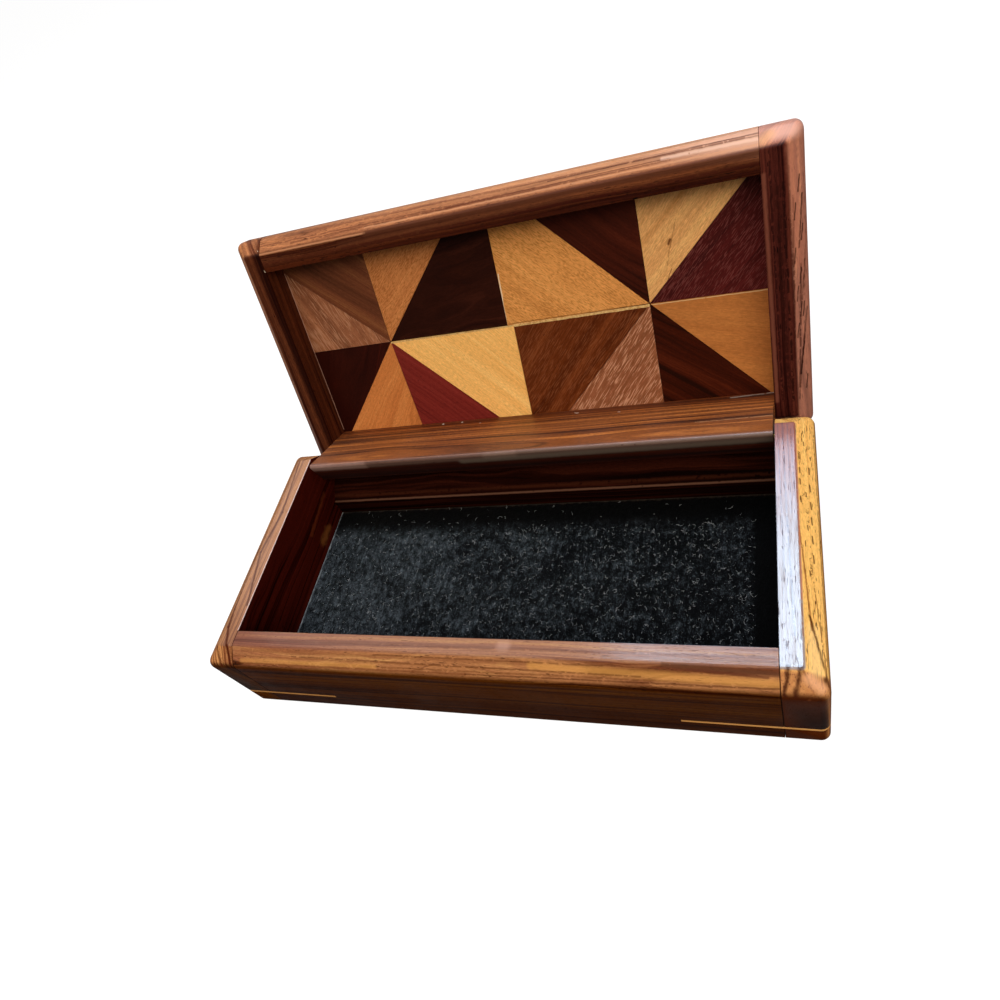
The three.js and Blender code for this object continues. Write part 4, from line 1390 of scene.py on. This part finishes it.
@dataclass
class Lid:
    """The lid's frame. It is modelled shut, then turned open about the hinge."""

    height: float = 16.0 * MM
    meeting_gap: float = 0.4 * MM
    corner_radius: float = 2.6 * MM
    bevel_run: float = 4.8 * MM
    bevel_drop: float = 4.0 * MM
    top_radius: float = 6.5 * MM
    shoulder_radius: float = 3.2 * MM
    brink_radius: float = 0.8 * MM
    groove_depth: float = 3.1 * MM
    groove_gap: float = 0.1 * MM
    panel_recess: float = 10.0 * MM
    panel_thickness: float = 4.5 * MM
    arris: float = 0.07 * MM
    nose_corner: tuple[float, float] = (35.05 * MM, 15.39 * MM)
    nose_reach: tuple[float, float] = (40.6 * MM, 22.0 * MM)
    nose_share: float = 0.27

    def __post_init__(self) -> None:
        """Works out the shut lid's box and the turn that opens it."""
        base_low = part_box("base_left_cheek")[0]
        base_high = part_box("base_right_cheek")[1]
        self.low = Vector((base_low.x, base_low.y, base_high.z + self.meeting_gap))
        self.high = Vector((base_high.x, base_high.y, self.low.z + self.height))
        self.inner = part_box("base_right_cheek")[0].x
        self.rail_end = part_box("lid_front_rail")[1].x
        joint = frame["joints"][0]
        self.pin = Vector(joint["pos_m"])
        self.open_angle = math.radians(joint["range_deg"][1])
        here = Matrix.Translation(self.pin)
        self.opening = here @ Matrix.Rotation(-self.open_angle, 4, "X") @ here.inverted()

    def blank(self) -> bpy.types.Object:
        """Models the shut lid's outer shape."""
        upper = rounded_tiers(
            (0, self.low.z),
            (0, self.high.z, self.top_radius),
            (self.high.x, self.high.z),
        )
        lower = rounded_tiers(
            (0, self.high.z),
            (0, self.low.z + self.bevel_drop, self.shoulder_radius),
            (self.bevel_run, self.low.z, self.brink_radius),
            (self.high.x, self.low.z),
        )
        shape = OuterShape(self.low, self.high, self.corner_radius, self.bevel_run)
        return shape.model("lid_blank", upper, lower)

    def pieces(self) -> dict[str, bpy.types.Object]:
        """Saws the front rail and the two end rails from the blank, and copies the rear rail."""
        blank = self.blank()
        front_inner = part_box("base_front_board")[1].y
        reach = self.inner + self.groove_depth
        inside = self._panel_z - self.groove_gap
        outside = self._panel_z + self.panel_thickness + self.groove_gap
        groove = start_block(
            "groove_cutter",
            Vector((-reach, front_inner - self.groove_depth, inside)),
            Vector((reach, self.high.y - self.groove_depth, outside)),
        )
        rails = {}
        for side in Side:
            rail = copied(blank, f"end_rail_{side.word}")
            cut(rail, Vector((side.value * self.inner, 0, 0)), Vector((-side.value, 0, 0)))
            rails[f"lid_{side.word}_rail"] = rail
        rail = copied(blank, "rail_front")
        cut(rail, Vector((0, front_inner, 0)), Vector((0, 1, 0)))
        for side in Side:
            cut(rail, Vector((side.value * self.rail_end, 0, 0)), Vector((side.value, 0, 0)))
        rails["lid_front_rail"] = rail
        for rail in rails.values():
            ease(rail, self.arris)
            carve(rail, groove)
            rail.matrix_world = self.opening
            activate(rail)
            fix_place()
            smooth(rail)
        rear = refined_copy("lid_rear_rail", "rail_rear")
        self._tighten_nose(rear)
        smooth(rear)
        rails["lid_rear_rail"] = rear
        discard(blank, groove)
        return rails

    def _tighten_nose(self, rail: bpy.types.Object) -> None:
        """Shrinks the rounding of the rear rail's lower edge towards the sharp corner that it rounds."""
        shut = self.opening.inverted()
        corner = self.opening @ Vector((0, *self.nose_corner))
        with shaping(rail):
            pick(rail, "VERT", lambda v: all(a < b for a, b in zip((shut @ v.co).yz, self.nose_reach)))
            bpy.ops.transform.resize(value=(1, self.nose_share, self.nose_share), center_override=corner)

    def looks(self) -> dict[str, Look]:
        """The look of each rail, with its places given as on the shut lid."""
        low, inner = self.low.z / MM, self.inner / MM
        meeting = (0, 0, -1), -low - 1.0, -low - 0.2
        return {
            "lid_front_rail": Look(
                LID_WOOD,
                Lay(pith=(0, 70, -20), opened=self.opening),
                (
                    Tone((0.03, -1, 0), 41.0, 45.5, "#ffffff", 0.0, "#dca072", 0.55),
                    # Paler towards the right: a painted reflection.
                    Tone((1, -8, -6), 160, 198, "#ffffff", 0.0, "#ecc4b4", 0.4),
                    Tone(*meeting, "#a08c84"),
                    # Painted shade: darker towards the inner face and on it.
                    Tone((0, 1, 0), -38.6, -34.0, "#a88a80"),
                    Tone((0, 1, 0), -33.6, -33.3, "#8a7468"),
                ),
                FRONT_RAIL_MARKS,
            ),
            "lid_left_rail": Look(
                LID_WOOD,
                Lay(turn=90, pith=(0, -60, -60), opened=self.opening),
                # The inner face is darkened with painted shade.
                (Tone(*meeting, "#826c68"), Tone((1, 0, 0), -inner - 3.0, -inner - 0.02, "#8c706c")),
                LEFT_RAIL_MARKS,
            ),
            "lid_right_rail": Look(
                END_WOOD,
                Lay(turn=90, pith=(0, 60, -60), opened=self.opening),
                (
                    Tone(*meeting, "#705458"),
                    Tone((0, -1, 0), 39.4, 42.0, "#ffffff", 0.0, "#d4a496", 0.5),
                    Tone((1, 0, 0), 90.3, 91.4, "#ffffff", 0.0, "#cc9480", 0.25),
                ),
                RIGHT_RAIL_MARKS,
            ),
            "lid_rear_rail": Look(
                LEDGE_WOOD,
                Lay(pith=(0, -90, -20), opened=self.opening),
                (
                    # Painted shade: darker towards the panel, in the corner, and on the nose's slanted front
                    # face, which faces down.
                    Tone((0, 0, 1), 34.0, 44.0, "#c0a898"),
                    Tone((0, 0.543, -0.84), 4.4, 5.7, "#74504a", 0.0, "#6a4230", 0.5),
                ),
                REAR_RAIL_MARKS,
            ),
        }

    @property
    def _panel_z(self) -> float:
        """The height of the panel's inner face when the lid is shut."""
        return self.low.z + self.panel_recess


@dataclass(frozen=True)
class Wedge:
    """One wedge of the lid's panel: its wood, its grain's angle, its pith and its own marks."""

    wood: WoodFinish
    angle: float
    pith: tuple[float, float, float] = (0.0, 60.0, -6.0)
    marks: tuple[Mark, ...] = ()


@dataclass
class Parquetry:
    """The sixteen wedges of the lid's panel, fanned round two hubs, and the glue in their seams."""

    lid: Lid
    arris: float = 0.05 * MM
    seam_y: float = 0.75
    seam_reach: float = 0.8 * MM
    middle_slide: float = 2.2 * MM
    rim_slide: float = 1.85 * MM
    rim_y: float = -36.35 * MM
    middle_y: float = 0.4 * MM
    glue_low: float = -0.06
    glue_high: float = 0.05
    glue_step: float = 0.7
    crumb: float = 1.1 * MM
    hubs: tuple[float, float] = (-49.2, 47.5)
    face: float = 45.2

    def wedges(self) -> dict[str, Wedge]:
        """The wedges by node, from the hinge's left to its right, the front row first."""
        (left, right), face = self.hubs, self.face
        rim = Mark((-83.6, -33, face), (-83.6, 34, face), 0.35, "#c99a86", 0.6, 0.2, 0.2)
        middle = Mark((left, 0.45, face), (right, 0.2, face), 0.3, "#3a2412", 0.7, 0.25, 0.25)
        joint = Mark((-1.2, -17, face), (-2.3, 0.5, face), 0.35, "#e8dcc0", 0.85, 0.25, 0.15)
        scratches = (
            Mark((55.7, -17.2, face), (56.4, -18.4, face), 0.8, "#5a2c12", 0.9, 0.3),
            Mark((54.5, -11.0, face), (58.6, -24.0, face), 0.3, "#8a5a30", 0.7, 0.6, 0.1),
            Mark((54.1, -6.0, face), (55.7, -9.6, face), 0.35, "#7a4a26", 0.8, 0.4),
        )
        seam = Mark((47.7, self.seam_y, face), (86.7, 1.2, face), 0.25, "#e8cf9a", 0.6, 0.15, 0.1)
        pale = PALE.shaded("#e4b270", "#d8a064", "#c48a50").flecked("#a87440", 0.4, 56, 2.4, 0.4)
        front = (
            Wedge(TAN.flecked("#b48262", 0.6, -70, 4.2, 0.6), 66, (0, 26, -14), (rim,)),
            Wedge(TAN.shaded("#7c4a2c", "#643722", "#4a2818"), 42),
            Wedge(ORANGE.shaded("#cc8850", "#b97542", "#9c5f34").flecked("#84491f", 0.6, 40, 1.5, 0.35), -41),
            Wedge(
                DARK.shaded("#3c1a10", "#290f08", "#170705", ring=5.0, wander=9.0),
                -9,
                (0, 12, -12),
                (middle,),
            ),
            Wedge(
                replace(ORANGE, ring=6.0).flecked("#98602a", 0.6, -43, 1.5, 0.35),
                43,
                (0, 30, -20),
                (middle, joint),
            ),
            Wedge(DARK.shaded("#501f10", "#3c150b", "#260c06", contrast=0.6), 42),
            Wedge(pale, -43, marks=scratches),
            Wedge(RED.shaded("#581d1b", "#471614", "#32100f").flecked("#743c38", 0.55, 50, 2.6, 0.35), -44),
        )
        rear = (
            Wedge(replace(DARK, light="#48170d", contrast=0.6), -58, marks=(rim,)),
            Wedge(ORANGE.shaded("#cc8448", "#be723b", "#a66030", wander=8.0), -50),
            Wedge(RED, 46),
            Wedge(replace(PALE, ring=6.0), 48),
            Wedge(TAN.shaded("#763c1c", "#5c290f", "#411b0a").flecked("#80482a", 0.6, 50, 3.4, 0.35), -48),
            Wedge(TAN.shaded("#9c6044", "#865034", "#6a3c26").flecked("#c89272", 0.8, 52, 4.0, 0.45), -51),
            Wedge(DARK.shaded("#4c1c0c", "#371106", "#200a04", contrast=0.65), 35),
            Wedge(
                ORANGE.shaded("#ba783e", "#b06e38", "#a06230", contrast=0.1, ring=9.0),
                13,
                (0, 20, -30),
                (seam,),
            ),
        )
        rows = {"front": front, "rear": rear}
        return {f"{row}_wedge_{i}": wedge for row in rows for i, wedge in enumerate(rows[row], 1)}

    def build(self) -> None:
        """Copies each wedge with its edges just broken, and lays the glue in the seams."""
        middle_end = Vector((0, self.middle_y))
        rim_end = Vector((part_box("front_wedge_6")[0].x, self.rim_y))
        for node, wedge in self.wedges().items():
            piece = refined_copy(node, node.replace("_wedge", "_fan"))
            if node in ("front_wedge_4", "front_wedge_5"):
                self._slide_seam(piece, middle_end, self.middle_slide)
            if node in ("front_wedge_5", "front_wedge_6"):
                self._slide_seam(piece, rim_end, self.rim_slide)
            ease(piece, self.arris, segments=1)
            smooth(piece, 20.0)
            lay = Lay(turn=wedge.angle, pith=wedge.pith, opened=self.lid.opening)
            dress(piece, Look(wedge.wood, lay, (), wedge.marks).material(node))
            settle(piece, "lid", wedge.wood.slot, node)
        self._glue()

    def _slide_seam(self, piece: bpy.types.Object, end: Vector, slide: float) -> None:
        """Moves one end of a seam a little left in a wedge beside it.

        Args:
            piece: the wedge.
            end: the seam's end on the shut lid.
            slide: how far it goes.
        """
        shut = self.lid.opening.inverted()
        with shaping(piece):
            pick(piece, "VERT", lambda v: ((shut @ v.co).xy - end).length < self.seam_reach)
            bpy.ops.transform.translate(value=(-slide, 0, 0))

    def _glue(self) -> None:
        """Lays a thin uneven line of glue and dust along the long middle seam."""
        left, right = self.hubs
        lines = []
        for start, end, width in (
            ((left, 1.0), (-0.3, 1.1), 0.5),
            ((0.0, 1.1), (right, 0.85), 0.85),
        ):
            reach = Vector(end) - Vector(start)
            line = start_block(
                "glue_line",
                Vector((0, -width / 2, self.glue_low)) * MM,
                Vector((reach.length, width / 2, self.glue_high)) * MM,
            )
            with shaping(line):
                pick(line, "EDGE", lambda e: abs(e.verts[0].co.x - e.verts[1].co.x) > NEAR)
                bpy.ops.mesh.subdivide(number_cuts=int(reach.length / self.glue_step))
            cloud = bpy.data.textures.new("crumbs", "CLOUDS")
            cloud.noise_scale = self.crumb
            modify(line, "DISPLACE", texture=cloud, strength=0.3 * width * MM, mid_level=0.5, direction="Y")
            turn = Matrix.Rotation(math.atan2(reach.y, reach.x), 4, "Z")
            place = Matrix.Translation(Vector((start[0], start[1], self.face)) * MM)
            line.matrix_world = self.lid.opening @ place @ turn
            lines.append(line)
        line = united(lines, "seam_glue")
        smooth(line, 40.0)
        dress(line, PlainFinish("Glue", "#dcb878", "#b98a4c", 0.6, spot=0.8).material())
        settle(line, "lid", "wedge_pale")


@dataclass
class Fittings:
    """The small pieces of the base: the splines in the corners, the floor panel, the pins and the card."""

    arris: float = 0.05 * MM

    def build(self) -> None:
        """Finishes each spline, pin and panel as a copy of its solid with its edges broken."""
        brass = PlainFinish("Brass pin", "#b08d4c", "#8f6d34", 0.35, metallic=1.0)
        card = PlainFinish("Lining card", "#6f665a", "#5f564b", 0.8)
        for node in frame["nodes"]:
            if node.startswith("corner_key"):
                wood = KEY_WOOD.material(node, Lay(pith=(0, 30, -8)))
                self._finish(node, node.replace("corner_key", "spline"), wood, KEY_WOOD.slot)
            elif node.startswith("hinge_pin"):
                self._finish(node, node.replace("hinge_pin", "pin"), brass.material(), "pin_brass")
        wood = PLYWOOD.material("floor_panel", Lay(pith=(0, 8, -90)))
        self._finish("floor_panel", "bottom_board", wood, PLYWOOD.slot)
        self._finish("lining_card", "card", card.material(), "card")

    def _finish(self, node: str, name: str, material: bpy.types.Material, slot: str) -> None:
        """Makes one finished copy that stands for its node."""
        piece = refined_copy(node, name)
        ease(piece, self.arris)
        smooth(piece)
        dress(piece, material)
        settle(piece, "base", slot, node)


@dataclass
class Lining:
    """The velvet on the floor, and the lint on it."""

    cell: float = 1.5 * MM
    swell: float = 0.12 * MM
    tuft: float = 4.0 * MM
    border: float = 0.6 * MM
    edge_radius: float = 0.5 * MM
    fibres: int = 1500
    fibre_radius: float = 0.017 * MM
    fibre_length: float = 1.8 * MM
    kink: float = 0.3 * MM
    bend: float = 0.35 * MM
    specks: int = 700
    speck_radius: float = 0.06 * MM
    lint_rise: float = 0.12
    seed: int = 11

    def build(self) -> None:
        """Lays the velvet and the lint on it."""
        low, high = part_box("velvet_lining")
        velvet = self.velvet()
        dress(velvet, VelvetFinish(low.x / MM, high.y / MM).material())
        settle(velvet, "base", "velvet", "velvet_lining")
        lint = self.lint()
        dress(lint, PlainFinish("Lint", "#f2f6f8", "#c4ccd0", 0.9).material())
        settle(lint, "base", "velvet")

    def lint(self) -> bpy.types.Object:
        """Strews short bent fibres and specks of dust over the velvet."""
        low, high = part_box("velvet_lining")
        deselect()
        bpy.ops.mesh.primitive_cylinder_add(vertices=4, radius=self.fibre_radius, depth=self.fibre_length)
        fibre = bpy.context.object
        with shaping(fibre):
            for height in (self.kink, -self.kink):
                bpy.ops.mesh.select_all(action="SELECT")
                bpy.ops.mesh.bisect(plane_co=(0, 0, height), plane_no=(0, 0, 1))
            pick(fibre, "VERT", lambda v: abs(v.co.z) > 2 * self.kink)
            bpy.ops.transform.translate(value=(self.bend, 0, 0))
        deselect()
        bpy.ops.mesh.primitive_ico_sphere_add(subdivisions=1, radius=self.speck_radius)
        speck = bpy.context.object
        with shaping(speck, whole=True):
            bpy.ops.transform.resize(value=(1, 0.7, 0.5))
        chance = random.Random(self.seed)
        pieces = []
        for index in range(self.fibres + self.specks):
            spread = chance.random()
            x = low.x + (high.x - low.x) * (0.01 + 0.95 * (spread**0.7 if index % 3 else spread))
            rearward = chance.uniform(0.01, 0.84) if index % 24 else chance.uniform(0.8, 0.99)
            y = low.y + (high.y - low.y) * rearward
            twin = copied(fibre if index < self.fibres else speck, "lint")
            size = chance.uniform(0.35, 1.0) ** 1.5
            tip = Euler((math.radians(chance.uniform(60, 95)), 0, chance.uniform(0, math.tau)))
            scale = Matrix.Diagonal((1, 1, size, 1)) if index < self.fibres else Matrix.Scale(0.4 + size, 4)
            rise = high.z + chance.uniform(0.0, self.lint_rise) * MM
            twin.matrix_world = Matrix.Translation((x, y, rise)) @ tip.to_matrix().to_4x4() @ scale
            pieces.append(twin)
        discard(fibre, speck)
        return united(pieces, "lint")

    def velvet(self) -> bpy.types.Object:
        """Models the velvet as a sheet with a soft, slightly uneven pile."""
        low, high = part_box("velvet_lining")
        size = high - low
        piece = start_block("velvet", low, high)

        def on_brim(edge: bmesh.types.BMEdge) -> bool:
            """Whether an edge runs round the sheet's upper outline."""
            return all(abs(v.co.z - high.z) < NEAR and self._outer(v, low, high) for v in edge.verts)

        with shaping(piece):
            pick(piece, "FACE", lambda f: f.normal.z > 0.9)
            bpy.ops.mesh.inset(thickness=self.border)
            pick(piece, "EDGE", on_brim)
            bpy.ops.mesh.bevel(offset=self.edge_radius, segments=4, affect="EDGES")
            pick(piece, "FACE", lambda f: f.normal.z > 0.99 and f.calc_area() > size.x * size.y / 2)
            bpy.ops.mesh.subdivide(number_cuts=int(size.y / self.cell / 2))
            bpy.ops.mesh.select_mode(type="VERT")
            pick(piece, "VERT", lambda v: v.co.z > high.z - NEAR and not self._outer(v, low, high))
        cloud = bpy.data.textures.new("pile", "CLOUDS")
        cloud.noise_scale = self.tuft
        modify(piece, "DISPLACE", texture=cloud, strength=self.swell, mid_level=1.0, direction="Z")
        smooth(piece, 60.0)
        return piece

    def _outer(self, vertex: bmesh.types.BMVert, low: Vector, high: Vector) -> bool:
        """Whether a vertex is on the sheet's outline."""
        x, y = vertex.co.x, vertex.co.y
        return min(x - low.x, high.x - x, y - low.y, high.y - y) < NEAR


@dataclass
class Studio:
    """A pale floor, soft lamps and the camera at the photograph's viewpoint."""

    camera_place: Vector = field(default_factory=lambda: Vector((90.06, -112.04, 208.25)) * MM)
    tilt: float = 37.322
    roll: float = 19.100
    pan: float = 11.121
    focal_pixels: float = 721.53
    picture: float = 1000.0
    centre_x: float = 510.99
    centre_y: float = 502.81

    def camera(self) -> None:
        """Sets the camera up from the fitted viewpoint."""
        data = bpy.data.cameras.new("camera")
        data.sensor_width = 36.0
        data.lens = data.sensor_width * self.focal_pixels / self.picture
        data.shift_x = (self.picture / 2 - self.centre_x) / self.picture
        data.shift_y = (self.centre_y - self.picture / 2) / self.picture
        data.clip_start = 0.01
        camera = bpy.data.objects.new("camera", data)
        camera.location = self.camera_place
        camera.rotation_euler = [math.radians(angle) for angle in (self.tilt, self.roll, self.pan)]
        bpy.context.scene.collection.objects.link(camera)
        bpy.context.scene.camera = camera

    def floor(self) -> None:
        """Adds the floor that the box stands on."""
        deselect()
        bpy.ops.mesh.primitive_plane_add(size=6.0, location=(0, 0, 0))
        floor = bpy.context.object
        floor.name = "floor"
        material, graph, shader = start_material("Floor")
        shader.inputs["Base Color"].default_value = (0.12, 0.12, 0.12, 1)
        shader.inputs["Roughness"].default_value = 0.9
        path = graph.add("LightPath")
        through = graph.math("ADD", path.outputs["Is Glossy Ray"], path.outputs["Is Transmission Ray"])
        mirrored = graph.math("MULTIPLY", through, 0.15)
        seen = graph.math("MULTIPLY_ADD", path.outputs["Is Camera Ray"], 0.94, mirrored)
        shader.inputs["Emission Color"].default_value = (1, 1, 1, 1)
        graph.feed(shader.inputs["Emission Strength"], seen)
        dress(floor, material)
        floor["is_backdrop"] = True

    def sky(self) -> None:
        """Sets the even light of the room, which the camera sees as white."""
        world = bpy.data.worlds.new("room")
        world.use_nodes = True
        bpy.context.scene.world = world
        graph = Graph(world.node_tree)
        lit = world.node_tree.nodes["Background"]
        lit.inputs["Color"].default_value = (1.0, 0.97, 0.93, 1)
        lit.inputs["Strength"].default_value = 0.2
        white = graph.add("Background")
        white.inputs["Color"].default_value = (1, 1, 1, 1)
        white.inputs["Strength"].default_value = 1.0
        path = graph.add("LightPath")
        both = graph.add("MixShader")
        graph.feed(both.inputs[0], path.outputs["Is Camera Ray"])
        graph.feed(both.inputs[1], lit.outputs[0])
        graph.feed(both.inputs[2], white.outputs[0])
        graph.feed(world.node_tree.nodes["World Output"].inputs["Surface"], both.outputs[0])

    def lamp(
        self, name: str, place: Vector, size: float, power: float, color: str, only_gloss: bool = False
    ) -> None:
        """Adds a square area lamp that points at the box, or one that only shows in its gloss."""
        data = bpy.data.lights.new(name, "AREA")
        data.size = size
        data.energy = power
        data.color = linear(color)[:3]
        lamp = bpy.data.objects.new(name, data)
        lamp.location = place
        lamp.rotation_euler = (-place).to_track_quat("-Z", "Y").to_euler()
        lamp.visible_diffuse = not only_gloss
        bpy.context.scene.collection.objects.link(lamp)

    def build(self) -> None:
        """Sets up the whole studio."""
        self.camera()
        self.floor()
        self.sky()
        self.lamp("sky", Vector((0.08, 0.43, 0.86)), 0.44, 4.6, "#e9eeff")
        self.lamp("overhead", Vector((-0.1, -0.5, 1.08)), 1.0, 9.5, "#fff6ea")
        self.lamp("side", Vector((0.69, -0.59, 0.79)), 0.7, 5.0, "#fff1dd")
        self.lamp("window", Vector((0.02, 0.47, 0.88)), 0.46, 11.5, "#bde2ff", only_gloss=True)
        self.lamp("wall", Vector((-0.5, 0.5, 0.88)), 0.7, 7.4, "#ffe6d6", only_gloss=True)
        bpy.context.scene.view_settings.view_transform = "Standard"


def main() -> None:
    """Builds the dressed box in order."""
    cad_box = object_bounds()
    Studio().build()
    base, lid = Base(), Lid()
    for body, part in (("base", base), ("lid", lid)):
        looks = part.looks()
        for node, piece in part.pieces().items():
            look = looks[node]
            dress(piece, look.material(piece.name))
            settle(piece, body, look.finish.slot, node)
    Parquetry(lid).build()
    Fittings().build()
    Lining().build()
    boxes = {"cad": cad_box, "visual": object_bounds()}
    {name: [list(corner) for corner in box] for name, box in boxes.items()}


if __name__ == "__main__":
    logging.basicConfig(level=logging.INFO, format="%(message)s")
    main()
